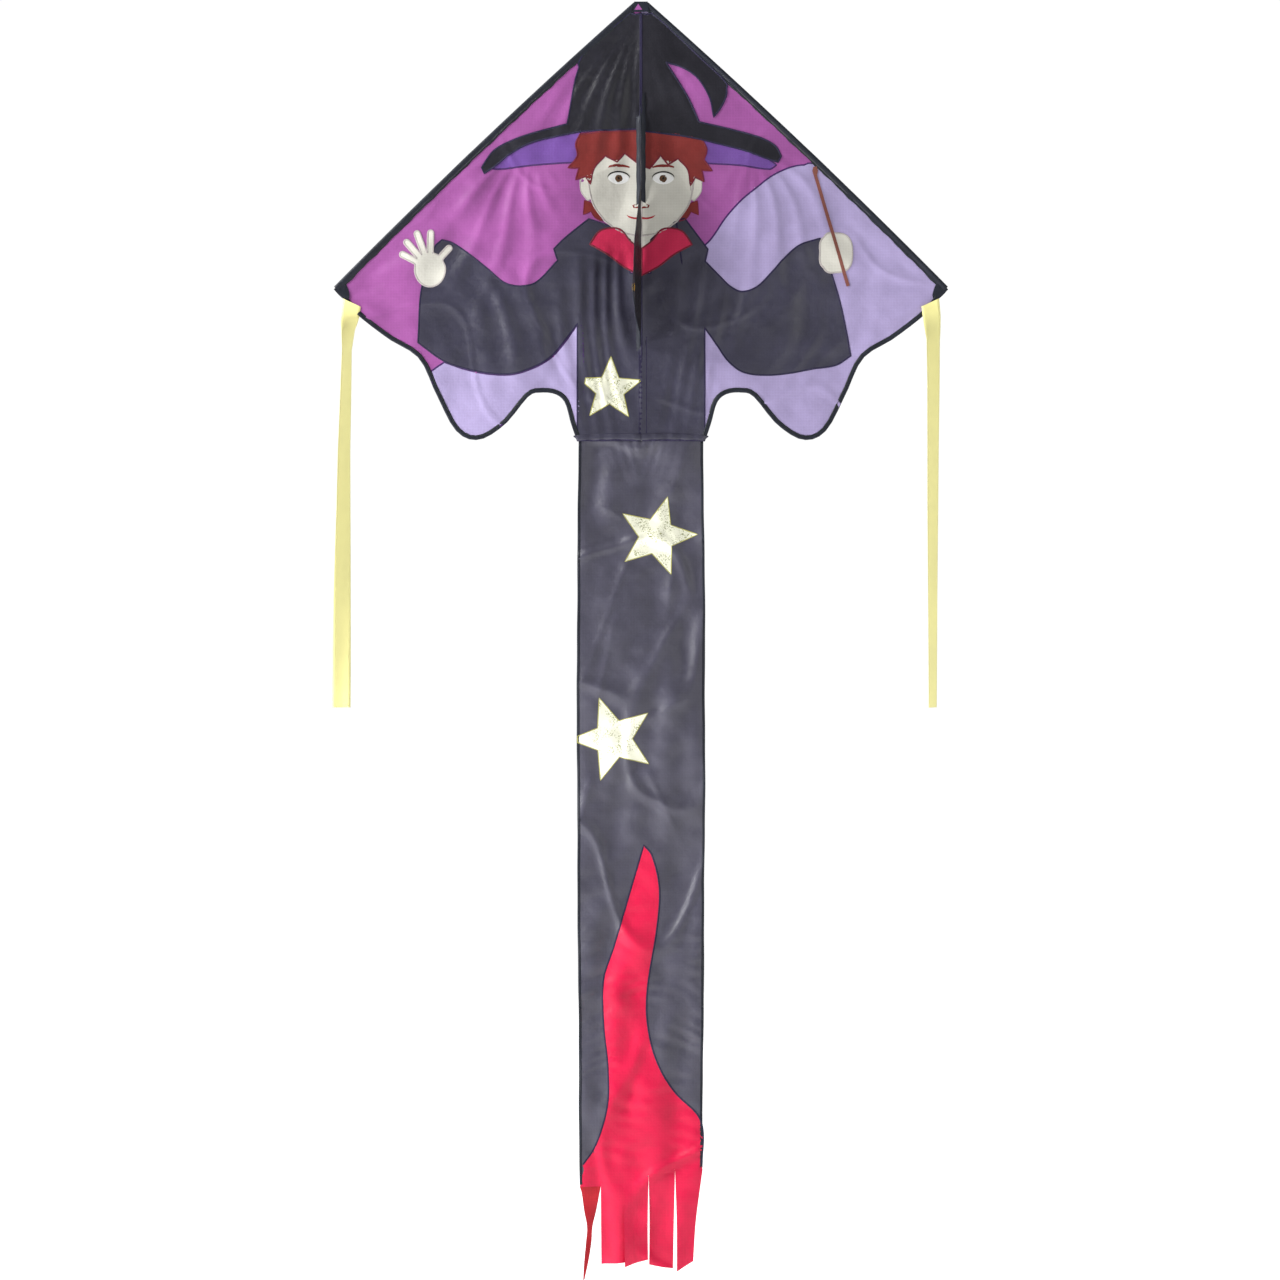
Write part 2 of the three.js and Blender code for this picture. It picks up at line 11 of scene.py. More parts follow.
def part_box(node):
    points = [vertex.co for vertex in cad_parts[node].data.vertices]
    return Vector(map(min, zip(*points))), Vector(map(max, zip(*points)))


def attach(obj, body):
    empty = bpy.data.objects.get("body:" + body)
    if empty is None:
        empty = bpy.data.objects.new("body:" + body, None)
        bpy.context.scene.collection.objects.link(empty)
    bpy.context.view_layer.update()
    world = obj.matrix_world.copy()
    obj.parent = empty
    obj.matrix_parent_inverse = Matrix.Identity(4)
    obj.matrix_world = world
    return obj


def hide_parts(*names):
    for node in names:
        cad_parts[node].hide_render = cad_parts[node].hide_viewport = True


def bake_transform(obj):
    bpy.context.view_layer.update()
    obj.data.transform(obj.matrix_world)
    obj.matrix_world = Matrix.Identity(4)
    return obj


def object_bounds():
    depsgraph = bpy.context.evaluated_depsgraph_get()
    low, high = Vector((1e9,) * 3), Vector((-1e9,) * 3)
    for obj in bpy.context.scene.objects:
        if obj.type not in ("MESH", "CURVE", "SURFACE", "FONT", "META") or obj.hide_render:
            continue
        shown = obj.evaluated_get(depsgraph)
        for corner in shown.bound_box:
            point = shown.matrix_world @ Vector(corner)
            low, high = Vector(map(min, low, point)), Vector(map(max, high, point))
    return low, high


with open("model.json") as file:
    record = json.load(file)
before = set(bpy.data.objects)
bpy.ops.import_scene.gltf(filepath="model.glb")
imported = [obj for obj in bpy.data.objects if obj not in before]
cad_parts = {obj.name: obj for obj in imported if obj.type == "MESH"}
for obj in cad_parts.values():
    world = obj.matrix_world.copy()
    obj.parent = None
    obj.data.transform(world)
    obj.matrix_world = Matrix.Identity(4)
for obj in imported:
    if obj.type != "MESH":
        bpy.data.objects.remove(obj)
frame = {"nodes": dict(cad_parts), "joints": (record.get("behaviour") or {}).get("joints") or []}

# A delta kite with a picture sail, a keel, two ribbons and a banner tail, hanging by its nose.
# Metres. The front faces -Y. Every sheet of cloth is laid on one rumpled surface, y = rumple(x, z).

cad_low, cad_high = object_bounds()
JOINTS = {joint["name"]: joint for joint in frame["joints"]}

# Camera: square on to the front, from far away through a long lens
FRAME_WIDTH = 2.355          # width of the picture at the kite, for a square frame
LENS = 100
SENSOR = 36
CAMERA_DISTANCE = FRAME_WIDTH * LENS / SENSOR
CAMERA_X = -0.0018
CAMERA_Z = -1.174


def make_camera():
    data = bpy.data.cameras.new("camera")
    data.lens = LENS
    data.sensor_width = SENSOR
    data.clip_end = 100
    camera = bpy.data.objects.new("camera", data)
    bpy.context.scene.collection.objects.link(camera)
    camera.location = (CAMERA_X, -CAMERA_DISTANCE, CAMERA_Z)
    camera.rotation_euler = (math.pi / 2, 0, 0)
    bpy.context.scene.camera = camera


make_camera()

# Sizes that the pieces share
MM = 0.001
SIDES = {"left": -1, "right": 1}
HEM_Z = JOINTS["tail_upper_flap"]["pos_m"][2]
TAIL_FLAPS = [JOINTS[name]["pos_m"][2] for name in ("tail_upper_flap", "tail_middle_flap", "tail_lower_flap")]
GRID = 5.5 * MM              # spacing of the points in a sheet
BASE_HALF = 0.15 * MM        # half the thickness of the sail
LEVEL_HALF = 0.20 * MM       # added to each side for each layer of cloth
STITCH_WIDTH = 3.0 * MM
STITCH_RISE = 0.13 * MM
SMALL_STITCH = 2.0 * MM      # on the small patches


def half_thickness(level):
    return BASE_HALF + LEVEL_HALF * level


# ---------------------------------------------------------------- rumpled surface

def smoothstep(low, high, value):
    t = np.clip((value - low) / (high - low), 0, 1)
    return t * t * (3 - 2 * t)


class Ripples:
    """Soft seeded noise: a sum of waves in many directions."""

    def __init__(self, seed, wavelength, waves=14, stretch=(1.0, 1.0)):
        draw = np.random.default_rng(seed)
        angle = draw.uniform(0, 2 * np.pi, waves)
        number = 2 * np.pi / (wavelength * draw.uniform(0.7, 1.5, waves))
        self.kx = number * np.cos(angle) / stretch[0]
        self.kz = number * np.sin(angle) / stretch[1]
        self.phase = draw.uniform(0, 2 * np.pi, waves)
        self.scale = 1 / math.sqrt(waves / 2)

    def __call__(self, x, z):
        turns = np.multiply.outer(x, self.kx) + np.multiply.outer(z, self.kz) + self.phase
        return np.sin(turns).sum(axis=-1) * self.scale


BILLOW = Ripples(3, 0.34)
DENTS = Ripples(5, 0.11, 18)
CRUMPLE = Ripples(8, 0.045, 24)
WANDER = Ripples(13, 0.16, 10)
BANNER = Ripples(21, 0.30, 16, (1.0, 1.4))
BANNER_FOLDS = Ripples(34, 0.085, 20, (0.8, 2.2))
BANNER_CREASES = Ripples(55, 0.26, 12, (1.0, 1.6))
SAIL_CREASES = Ripples(89, 0.30, 10)


def creased(value, width=0.22):
    """Narrow ridges along the lines where soft noise passes through zero."""
    return np.exp(-((value / width) ** 2))

EDGE_SLOPE = math.atan2(525, 553)   # the leading edge's angle below level


def edge_distance(x, z):
    """How far a point of the sail lies inside the leading edge."""
    reach = np.abs(x) - 13 * MM
    return -(reach * math.sin(EDGE_SLOPE) + z * math.cos(EDGE_SLOPE))


def folds(position, width, sharp=2.0):
    """Rounded pleats: 1 on a ridge and 0 in the valley, with narrow ridges."""
    return ((np.cos(2 * np.pi * position / width) + 1) / 2) ** sharp


def sail_rumple(x, z):
    y = -3.5 * MM * smoothstep(0, 0.16, edge_distance(x, z)) * smoothstep(0, 0.10, np.abs(x))
    y = y + 3.4 * MM * BILLOW(x, z) * smoothstep(0, 0.12, edge_distance(x, z))
    y = y + 1.2 * MM * DENTS(x, z) + 0.28 * MM * CRUMPLE(x, z)
    y = y - 1.8 * MM * creased(SAIL_CREASES(x, z), 0.12) * smoothstep(12 * MM, 50 * MM, np.abs(x))
    # pleats that fan out from the nose, deeper on the left of the hat
    radius = np.hypot(x, z)
    angle = np.arctan2(x, -z)
    fan = folds(angle + 0.04 * WANDER(x * 0.4, z * 0.4), 0.145, 1.6)
    near = smoothstep(0.05, 0.15, radius) * (1 - smoothstep(0.20, 0.36, radius))
    left = 1 - 0.78 * smoothstep(-0.01, 0.01, x)
    y = y - 2.9 * MM * fan * near * left * smoothstep(0.0, 0.05, edge_distance(x, z))
    # long pleats that fan across the wings from under the brim
    reach = np.hypot(np.abs(x) - 0.20, z + 0.25)
    turn = np.arctan2(np.abs(x) - 0.20, -(z + 0.25)) + 0.06 * WANDER(x * 0.5, z * 0.5)
    pleats = folds(turn, 0.27, 2.0) * smoothstep(0.04, 0.12, reach) * (1 - smoothstep(0.24, 0.40, reach))
    y = y - 2.8 * MM * pleats * smoothstep(0.13, 0.20, np.abs(x))
    # long folds that hang down the robe
    below = smoothstep(-0.44, -0.52, z) * (1 - 0.6 * smoothstep(-0.70, -0.80, z))
    lean = x + 0.16 * (z + 0.45) * np.sign(x) * -1 + 0.010 * WANDER(x, z * 0.35)
    robe = folds(lean, 0.034, 1.4) * below * (1 - smoothstep(0.10, 0.17, np.abs(x)))
    y = y - 3.5 * MM * robe * (1 - 0.45 * smoothstep(-0.01, 0.01, x))
    # slack folds under each arm
    arm = np.exp(-(((np.abs(x) - 0.24) / 0.12) ** 2)) * np.exp(-(((z + 0.60) / 0.085) ** 2))
    y = y - 5.0 * MM * arm * folds(np.abs(x) * 0.94 - 0.34 * z + 0.012 * WANDER(x, z), 0.055, 1.3)
    # creases that run in from the wing tips
    tip = np.hypot(np.abs(x) - 0.56, z + 0.53)
    ray = np.arctan2(z + 0.53, np.abs(x) - 0.56)
    y = y + 1.6 * MM * np.sin(15 * ray) * np.exp(-tip / 0.16) * smoothstep(0.03, 0.09, tip)
    # the spine rod behind the centre seam
    y = y - 1.3 * MM * np.exp(-((x / (5 * MM)) ** 2)) * smoothstep(-0.79, -0.75, z)
    # nothing moves at the sleeve, which the rod holds straight
    return y * smoothstep(2 * MM, 40 * MM, edge_distance(x, z))


STAR_CREASES = [  # x, z, direction in degrees from straight down, length
    (0.055, -0.915, 165, 0.14), (0.101, -0.985, 95, 0.05), (0.058, -1.050, -8, 0.10),
    (-0.026, -1.030, -20, 0.34), (-0.030, -0.950, -120, 0.08), (-0.078, -1.277, 168, 0.22),
    (0.012, -1.322, 120, 0.12), (0.009, -1.408, 25, 0.20), (-0.090, -1.422, -15, 0.16),
]


def tail_rumple(x, z):
    y = 7 * MM * np.sin(2 * np.pi * (z + 0.80) / 1.15) * smoothstep(-0.81, -1.15, z)
    y = (y + 4.2 * MM * BANNER(x, z) + 2.2 * MM * BANNER_FOLDS(x, z)
         - 6.0 * MM * creased(BANNER_CREASES(x, z)) + 0.45 * MM * CRUMPLE(x, z))
    for sx, sz, turn, length in STAR_CREASES:
        a = math.radians(turn)
        dx, dz = math.sin(a), -math.cos(a)
        along = (x - sx) * dx + (z - sz) * dz
        across = (x - sx) * dz - (z - sz) * dx
        taper = smoothstep(-0.01, 0.015, along) * (1 - smoothstep(0.3 * length, length, along))
        y = y - 5.5 * MM * taper * np.exp(-np.abs(across) / (12 * MM))
    # short gathers where the tail is sewn to the body
    gather = np.exp(-((x / 0.05) ** 2)) * np.exp(-((HEM_Z - z) / 0.05) ** 2)
    y = y + 3.2 * MM * gather * folds(x + 0.3 * (HEM_Z - z) * np.sign(x), 0.017, 1.2)
    # fine puckers across the flame
    flame = smoothstep(-1.60, -1.75, z) * (1 - smoothstep(-2.10, -2.18, z))
    patchy = np.clip(0.35 + 0.6 * DENTS(x, z), 0, 1)
    y = y + 1.0 * MM * flame * patchy * np.sin(
        2 * np.pi * (z + 0.25 * np.abs(x) + 0.010 * WANDER(x, z)) / 0.027)
    return y


def rumple(x, z):
    x, z = np.asarray(x, float), np.asarray(z, float)
    on_tail = smoothstep(HEM_Z + 12 * MM, HEM_Z - 12 * MM, z)
    return sail_rumple(x, z) * (1 - on_tail) + tail_rumple(x, z) * on_tail


# ---------------------------------------------------------------- outlines

def front_loop(node):
    """The outline of a flat CAD plate's front face, as (x, z) points in order."""
    mesh = frame["nodes"][node].data
    places = [(round(v.co.x, 5), round(v.co.z, 5)) for v in mesh.vertices]
    ways = {}
    for face in mesh.polygons:
        if face.normal.y < -0.9:
            corners = [places[i] for i in face.vertices]
            for a, b in zip(corners, corners[1:] + corners[:1]):
                ways[(a, b)] = True
    nexts = {a: b for a, b in ways if (b, a) not in ways}
    start = min(nexts)
    loop = [start]
    while nexts[loop[-1]] != start:
        loop.append(nexts[loop[-1]])
    return loop


def off_crease(point, side):
    """How far a point is from the crease between the centre and a wing."""
    joint = JOINTS[f"{side}_wing_fold"]
    slope = joint["axis"][0] / joint["axis"][2]
    return abs(point[0] - joint["pos_m"][0] - slope * point[1])


def joined_loop(inner, outer, side):
    """One outline round two CAD plates that meet along a crease."""
    whole = []
    for node in (inner, outer):
        loop = front_loop(node)
        best, start = 0, 0
        for i, p in enumerate(loop):
            q = loop[(i + 1) % len(loop)]
            on_line = off_crease(p, side) < 1 * MM and off_crease(q, side) < 1 * MM
            if on_line and math.dist(p, q) > best:
                best, start = math.dist(p, q), (i + 1) % len(loop)
        whole += loop[start:] + loop[:start]
    return whole


def softened(loop, corner=46, step=GRID * 0.8):
    """Runs a smooth curve through an outline's points, but keeps its sharp corners."""
    points = [Vector(p) for p in loop]
    count = len(points)
    sharp = []
    for i in range(count):
        before = points[i] - points[i - 1]
        after = points[(i + 1) % count] - points[i]
        turn = before.angle(after, 0) if before.length and after.length else 0
        sharp.append(math.degrees(turn) > corner)
    out = []
    for i in range(count):
        a, b = points[i], points[(i + 1) % count]
        length = (b - a).length
        before = a - (b - a) if sharp[i] else points[i - 1]
        after = b + (b - a) if sharp[(i + 1) % count] else points[(i + 2) % count]
        into = (b - before) / ((b - a).length + (a - before).length) * length
        away = (after - a) / ((after - b).length + (b - a).length) * length
        steps = max(1, round(length / step))
        for k in range(steps):
            t = k / steps
            h1, h2 = 2 * t**3 - 3 * t**2 + 1, t**3 - 2 * t**2 + t
            h3, h4 = -2 * t**3 + 3 * t**2, t**3 - t**2
            out.append(tuple(h1 * a + h2 * into + h3 * b + h4 * away))
    return out


def millimetres(*points):
    return [(x * MM, z * MM) for x, z in points]


def inside(loop, x, z):
    """Which of the points lie inside the outline."""
    hits = np.zeros(x.shape, bool)
    for (ax, az), (bx, bz) in zip(loop, loop[1:] + loop[:1]):
        if az == bz:
            continue
        crosses = (az > z) != (bz > z)
        hits ^= crosses & (x < (bx - ax) * (z - az) / (bz - az) + ax)
    return hits


def clear_of(loop, x, z, gap):
    """Which of the points are further than gap from the outline."""
    ok = np.ones(x.shape, bool)
    for (ax, az), (bx, bz) in zip(loop, loop[1:] + loop[:1]):
        dx, dz = bx - ax, bz - az
        t = np.clip(((x - ax) * dx + (z - az) * dz) / max(dx * dx + dz * dz, 1e-12), 0, 1)
        ok &= np.hypot(x - ax - t * dx, z - az - t * dz) > gap
    return ok


def filled(loop, spacing, holes=()):
    """Triangles over an outline, with any holes left open: (points, triangles)."""
    xs, zs = zip(*loop)
    row_gap = spacing * 0.866
    rows = np.arange(math.floor(min(zs) / row_gap), math.ceil(max(zs) / row_gap))
    columns = np.arange(math.floor(min(xs) / spacing) - 1, math.ceil(max(xs) / spacing) + 1)
    gx, gz = np.meshgrid(columns * spacing, rows * row_gap)
    gx = gx + (rows % 2)[:, None] * spacing / 2
    gx, gz = gx.ravel(), gz.ravel()
    keep = inside(loop, gx, gz)
    gx, gz = gx[keep], gz[keep]
    keep = clear_of(loop, gx, gz, spacing * 0.45)
    for hole in holes:
        keep &= ~inside(hole, gx, gz) & clear_of(hole, gx, gz, spacing * 0.45)
    points, edges = [], []
    for ring in (loop, *holes):
        base = len(points)
        points += [Vector(p) for p in ring]
        edges += [(base + i, base + (i + 1) % len(ring)) for i in range(len(ring))]
    points += [Vector(p) for p in zip(gx[keep], gz[keep])]
    made = delaunay_2d_cdt(points, edges, [], 1, 1e-7)
    corners = np.array([tuple(v) for v in made[0]])
    triangles = [tuple(t) for t in made[2]]
    for hole in holes:
        middles = np.array([corners[list(t)].mean(axis=0) for t in triangles])
        filled_in = inside(hole, middles[:, 0], middles[:, 1])
        triangles = [t for t, gone in zip(triangles, filled_in) if not gone]
    return corners, triangles


# ---------------------------------------------------------------- meshes

class Build:
    """Collects vertices, faces, texture places and materials for one mesh."""

    def __init__(self):
        self.vertices, self.faces, self.uvs, self.slots, self.sharp = [], [], [], [], set()

    def add(self, vertices, faces, uvs, slot=0, sharp=()):
        base = len(self.vertices)
        self.vertices.extend(vertices)
        self.faces.extend(tuple(base + i for i in face) for face in faces)
        self.slots.extend([slot] * len(faces))
        self.uvs.extend(uvs)
        self.sharp.update((min(a, b) + base, max(a, b) + base) for a, b in sharp)

    def sheet(self, loop, level, slot=0, spacing=GRID, surface=None, holes=()):
        """A closed slab of cloth over an outline, laid on the rumpled surface."""
        surface = surface or rumple
        corners, triangles = filled(loop, spacing, holes)
        x, z = corners[:, 0], corners[:, 1]
        y = surface(x, z)
        half = np.full(len(x), half_thickness(level))
        used = {}
        for t in triangles:
            for a, b in zip(t, t[1:] + t[:1]):
                used[(a, b)] = True
        rim = [(a, b) for a, b in used if (b, a) not in used]
        half[[a for a, _ in rim]] *= 0.75
        count = len(x)
        vertices = [*zip(x, y - half, z), *zip(x, y + half, z)]
        ccw = [t if area(corners, t) < 0 else t[::-1] for t in triangles]
        faces = [t[::-1] for t in ccw] + [tuple(i + count for i in t) for t in ccw]
        turned = {(a, b) for t in faces[:len(ccw)] for a, b in zip(t, t[1:] + t[:1])}
        walls = [(a, b) for a, b in turned if (b, a) not in turned]
        faces += [(b, a, a + count, b + count) for a, b in walls]
        sharp = [(a, b) for a, b in walls] + [(a + count, b + count) for a, b in walls]
        self.add(vertices, faces, [*zip(x, z)] * 2, slot, sharp)

    def stitches(self, loop, level, slot, width=STITCH_WIDTH, inset=0.0, closed=True, surface=None,
                 section=None):
        """A line with a section swept along an outline: by default raised stitches on both faces."""
        surface = surface or rumple
        points = [Vector(p) for p in loop]
        count = len(points)
        half, top = half_thickness(level) + 0.03 * MM, half_thickness(level) + STITCH_RISE
        section = section or [(-0.5, -half), (-0.25, -top), (0.25, -top), (0.5, -half),
                              (0.5, half), (0.25, top), (-0.25, top), (-0.5, half)]
        vertices, uvs, run = [], [], 0.0
        for i, p in enumerate(points):
            before = points[i - 1] if closed or i else p
            after = points[(i + 1) % count] if closed or i < count - 1 else p
            along = (after - before).normalized()
            across = Vector((-along.y, along.x))
            run += (p - before).length if i else 0
            for share, rise in section:
                q = p + across * (share * width + inset)
                vertices.append((q.x, rise, q.y))
                uvs.append((run, share * width))
        x, z = np.array([v[0] for v in vertices]), np.array([v[2] for v in vertices])
        y = surface(x, z)
        vertices = [(v[0], v[1] + dy, v[2]) for v, dy in zip(vertices, y)]
        size = len(section)
        faces = []
        for i in range(count if closed else count - 1):
            a, b = i * size, ((i + 1) % count) * size
            faces += [(a + k, b + k, b + (k + 1) % size, a + (k + 1) % size) for k in range(size)]
        if not closed:
            last = (count - 1) * size
            faces += [tuple(reversed(range(size))), tuple(last + k for k in range(size))]
        self.add(vertices, faces, uvs, slot)

    def tube(self, rings, slot=0, uvs=None, capped=True):
        """A loft through rings of points that all have the same count."""
        size = len(rings[0])
        vertices = [p for ring in rings for p in ring]
        faces = []
        for i in range(len(rings) - 1):
            a, b = i * size, (i + 1) * size
            faces += [(a + k, a + (k + 1) % size, b + (k + 1) % size, b + k) for k in range(size)]
        sharp = []
        if capped:
            last = (len(rings) - 1) * size
            faces += [tuple(reversed(range(size))), tuple(last + k for k in range(size))]
            for base in (0, last):
                sharp += [(base + k, base + (k + 1) % size) for k in range(size)]
        self.add(vertices, faces, uvs or [(p[0], p[2]) for p in vertices], slot, sharp)

    def piece(self, name, materials, smooth=True):
        mesh = bpy.data.meshes.new(name)
        mesh.from_pydata([tuple(map(float, v)) for v in self.vertices], [], self.faces)
        layer = mesh.uv_layers.new(name="cloth")
        places = np.array(self.uvs, dtype=np.float32)
        corner = np.zeros(len(mesh.loops), dtype=np.int32)
        mesh.loops.foreach_get("vertex_index", corner)
        layer.data.foreach_set("uv", places[corner].ravel())
        for material in materials:
            mesh.materials.append(material)
        mesh.polygons.foreach_set("material_index", np.array(self.slots, dtype=np.int32))
        mesh.polygons.foreach_set("use_smooth", np.full(len(mesh.polygons), smooth))
        if self.sharp:
            marks = mesh.attributes.new("sharp_edge", "BOOLEAN", "EDGE")
            ends = np.zeros(len(mesh.edges) * 2, dtype=np.int32)
            mesh.edges.foreach_get("vertices", ends)
            flags = [(min(a, b), max(a, b)) in self.sharp for a, b in ends.reshape(-1, 2)]
            marks.data.foreach_set("value", np.array(flags))
        mesh.update()
        thing = bpy.data.objects.new(name, mesh)
        bpy.context.scene.collection.objects.link(thing)
        face_outwards(thing)
        return thing


def walled(section, thickness):
    """The section of a folded strip: its outside in order, and its inside on the way back."""
    inside_line = []
    for i, (u, v) in enumerate(section):
        before, after = section[max(i - 1, 0)], section[min(i + 1, len(section) - 1)]
        along = (Vector(after) - Vector(before)).normalized()
        inside_line.append((u + along.y * thickness, v - along.x * thickness))
    return section + inside_line[::-1]


def area(points, t):
    (ax, az), (bx, bz), (cx, cz) = (points[i] for i in t)
    return (bx - ax) * (cz - az) - (cx - ax) * (bz - az)


def face_outwards(thing):
    """Turns the faces out, island by island."""
    bm = bmesh.new()
    bm.from_mesh(thing.data)
    bmesh.ops.recalc_face_normals(bm, faces=bm.faces)
    bm.to_mesh(thing.data)
    bm.free()


# ---------------------------------------------------------------- materials

def linear(r, g, b):
    """An sRGB colour, 0 to 255, as linear shader values."""
    return tuple((c / 255 / 12.92) if c <= 10 else ((c / 255 + 0.055) / 1.055) ** 2.4
                 for c in (r, g, b)) + (1.0,)


class Nodes:
    """Short calls for a material's nodes."""

    def __init__(self, name):
        self.material = bpy.data.materials.new(name)
        self.material.use_nodes = True
        self.tree = self.material.node_tree
        self.shader = self.tree.nodes["Principled BSDF"]

    def new(self, kind, inputs=(), **settings):
        node = self.tree.nodes.new(kind)
        for key, value in settings.items():
            setattr(node, key, value)
        for key, value in dict(inputs).items():
            if isinstance(value, bpy.types.NodeSocket):
                self.tree.links.new(value, node.inputs[key])
            else:
                node.inputs[key].default_value = value
        return node

    def math(self, operation, a, b=0.0):
        return self.new("ShaderNodeMath", {0: a, 1: b}, operation=operation).outputs[0]

    def noise(self, place, scale, detail=3.0, rough=0.55):
        inputs = {"Vector": place, "Scale": scale, "Detail": detail, "Roughness": rough}
        return self.new("ShaderNodeTexNoise", inputs).outputs["Fac"]

    def spread(self, value, low, high, out_low=0.0, out_high=1.0):
        inputs = {"Value": value, "From Min": low, "From Max": high, "To Min": out_low, "To Max": out_high}
        return self.new("ShaderNodeMapRange", inputs).outputs["Result"]

    def mix(self, factor, a, b, blend="MIX"):
        node = self.tree.nodes.new("ShaderNodeMix")
        node.data_type = "RGBA"
        node.blend_type = blend
        for key, value in ((0, factor), (6, a), (7, b)):
            if isinstance(value, bpy.types.NodeSocket):
                self.tree.links.new(value, node.inputs[key])
            else:
                node.inputs[key].default_value = value
        return node.outputs[2]

    def bump(self, height, distance, strength, normal=None):
        inputs = {"Height": height, "Distance": distance, "Strength": strength}
        if normal:
            inputs["Normal"] = normal
        return self.new("ShaderNodeBump", inputs).outputs["Normal"]

    def finish(self, color=None, roughness=None, normal=None, **constants):
        for key, value in (("Base Color", color), ("Roughness", roughness), ("Normal", normal)):
            if isinstance(value, bpy.types.NodeSocket):
                self.tree.links.new(value, self.shader.inputs[key])
            elif value is not None:
                self.shader.inputs[key].default_value = value
        for key, value in constants.items():
            self.shader.inputs[key.replace("_", " ")].default_value = value
        return self.material


def shade(color, factor):
    return tuple(c * factor for c in color[:3]) + (1.0,)


GRID_PITCH = 5.2 * MM   # from one ripstop line to the next
GRID_SHARE = 0.13       # of that pitch, the width of a line
YARN_PITCH = 0.7 * MM
CORD_PITCH = 0.9 * MM   # of the stitches
RIB_PITCH = 0.8 * MM    # of the ribbon


def nylon(name, rgb, gloss=0.5, contrast=0.10, specular=0.3, sheen_tint=(255, 255, 255), sheen_streak=0.0):
    """Thin ripstop: a fine weave with a raised grid, soft blotches of painted sheen and crumple shade in its
    colour, and small crumples.
    """
    n = Nodes(name)
    color = linear(*rgb)
    place = n.new("ShaderNodeTexCoord").outputs["UV"]
    sheen_blotch = n.noise(place, 16.0, 4.0, 0.6)
    fine = n.noise(place, 95.0, 3.0, 0.6)
    tall = n.new("ShaderNodeMapping", {"Vector": place, "Scale": (60.0, 7.0, 1.0)}).outputs["Vector"]
    sheen_streaks = n.noise(tall, 1.0, 3.0, 0.6)
    split = n.new("ShaderNodeSeparateXYZ", {"Vector": place})
    grid = []
    for axis in ("X", "Y"):
        turn = n.math("FRACT", n.math("DIVIDE", split.outputs[axis], GRID_PITCH))
        grid.append(n.math("LESS_THAN", turn, GRID_SHARE))
    raised = n.math("MAXIMUM", grid[0], grid[1])
    weave = n.math("MULTIPLY",
                   n.math("SINE", n.math("MULTIPLY", split.outputs["X"], 2 * math.pi / YARN_PITCH)),
                   n.math("SINE", n.math("MULTIPLY", split.outputs["Y"], 2 * math.pi / YARN_PITCH)))
    # painted sheen and crumple shade: the blotch noise moves the colour up and down by the contrast share
    pale = n.mix(n.spread(sheen_blotch, 0.36, 0.64), shade(color, 1 - contrast), shade(color, 1 + contrast))
    # painted sheen: long stretched streaks lighten the colour towards the tint; every cloth here leaves this
    # at 0
    if sheen_streak:
        lit = tuple(min(1.0, c) for c in linear(*sheen_tint))
        pale = n.mix(n.spread(sheen_streaks, 0.48, 0.66, 0.0, sheen_streak), pale, lit)
    gridded = n.mix(n.math("MULTIPLY", raised, 0.10), pale, (1, 1, 1, 1), "OVERLAY")
    normal = n.bump(weave, 0.05 * MM, 0.35)
    normal = n.bump(raised, 0.08 * MM, 0.4, normal)
    normal = n.bump(fine, 1.2 * MM, 0.30, normal)
    normal = n.bump(sheen_blotch, 6.0 * MM, 0.25, normal)
    rough = n.spread(fine, 0.3, 0.7, gloss - 0.08, gloss + 0.10)
    return n.finish(gridded, rough, normal, Specular_IOR_Level=specular)


def thread(name, rgb):
    """Zigzag or satin stitches, as cords side by side."""
    n = Nodes(name)
    color = linear(*rgb)
    place = n.new("ShaderNodeTexCoord").outputs["UV"]
    split = n.new("ShaderNodeSeparateXYZ", {"Vector": place})
    slant = n.math("ADD", split.outputs["X"], n.math("MULTIPLY", split.outputs["Y"], 0.35))
    wave = n.math("SINE", n.math("MULTIPLY", slant, 2 * math.pi / CORD_PITCH))
    # painted shade and highlight: darker in the grooves between cords and lighter on their crests, along the
    # same wave as the bump
    tone = n.mix(n.spread(wave, -1.0, 1.0), shade(color, 0.6), shade(color, 1.25))
    normal = n.bump(wave, 0.2 * MM, 0.7)
    return n.finish(tone, n.spread(wave, -1.0, 1.0, 0.62, 0.42), normal, Specular_IOR_Level=0.3)


def lame(name):
    """Metallic cloth: pale gold foil, finely crinkled, with a sparkle of darker flecks, thinned out in broad
    patches that stand as painted highlights.
    """
    n = Nodes(name)
    place = n.new("ShaderNodeTexCoord").outputs["UV"]
    crinkle = n.noise(place, 420.0, 3.0, 0.7)
    flecks = n.new("ShaderNodeTexVoronoi", {"Vector": place, "Scale": 640.0}).outputs["Color"]
    patches = n.noise(place, 34.0, 3.0, 0.5)
    fleck = n.spread(n.new("ShaderNodeSeparateColor", {"Color": flecks}).outputs[0], 0.62, 0.9)
    # painted highlights: where the broad patches are low the flecks fade, and the foil shows near white
    amount = n.math("MULTIPLY", fleck, n.spread(patches, 0.44, 0.56, 0.05, 1.0))
    color = n.mix(amount, linear(250, 250, 228), linear(150, 152, 96))
    normal = n.bump(crinkle, 0.6 * MM, 0.5)
    normal = n.bump(patches, 5 * MM, 0.35, normal)
    return n.finish(color, n.spread(crinkle, 0.3, 0.7, 0.28, 0.5), normal, Metallic=0.55,
                    Specular_IOR_Level=0.6)


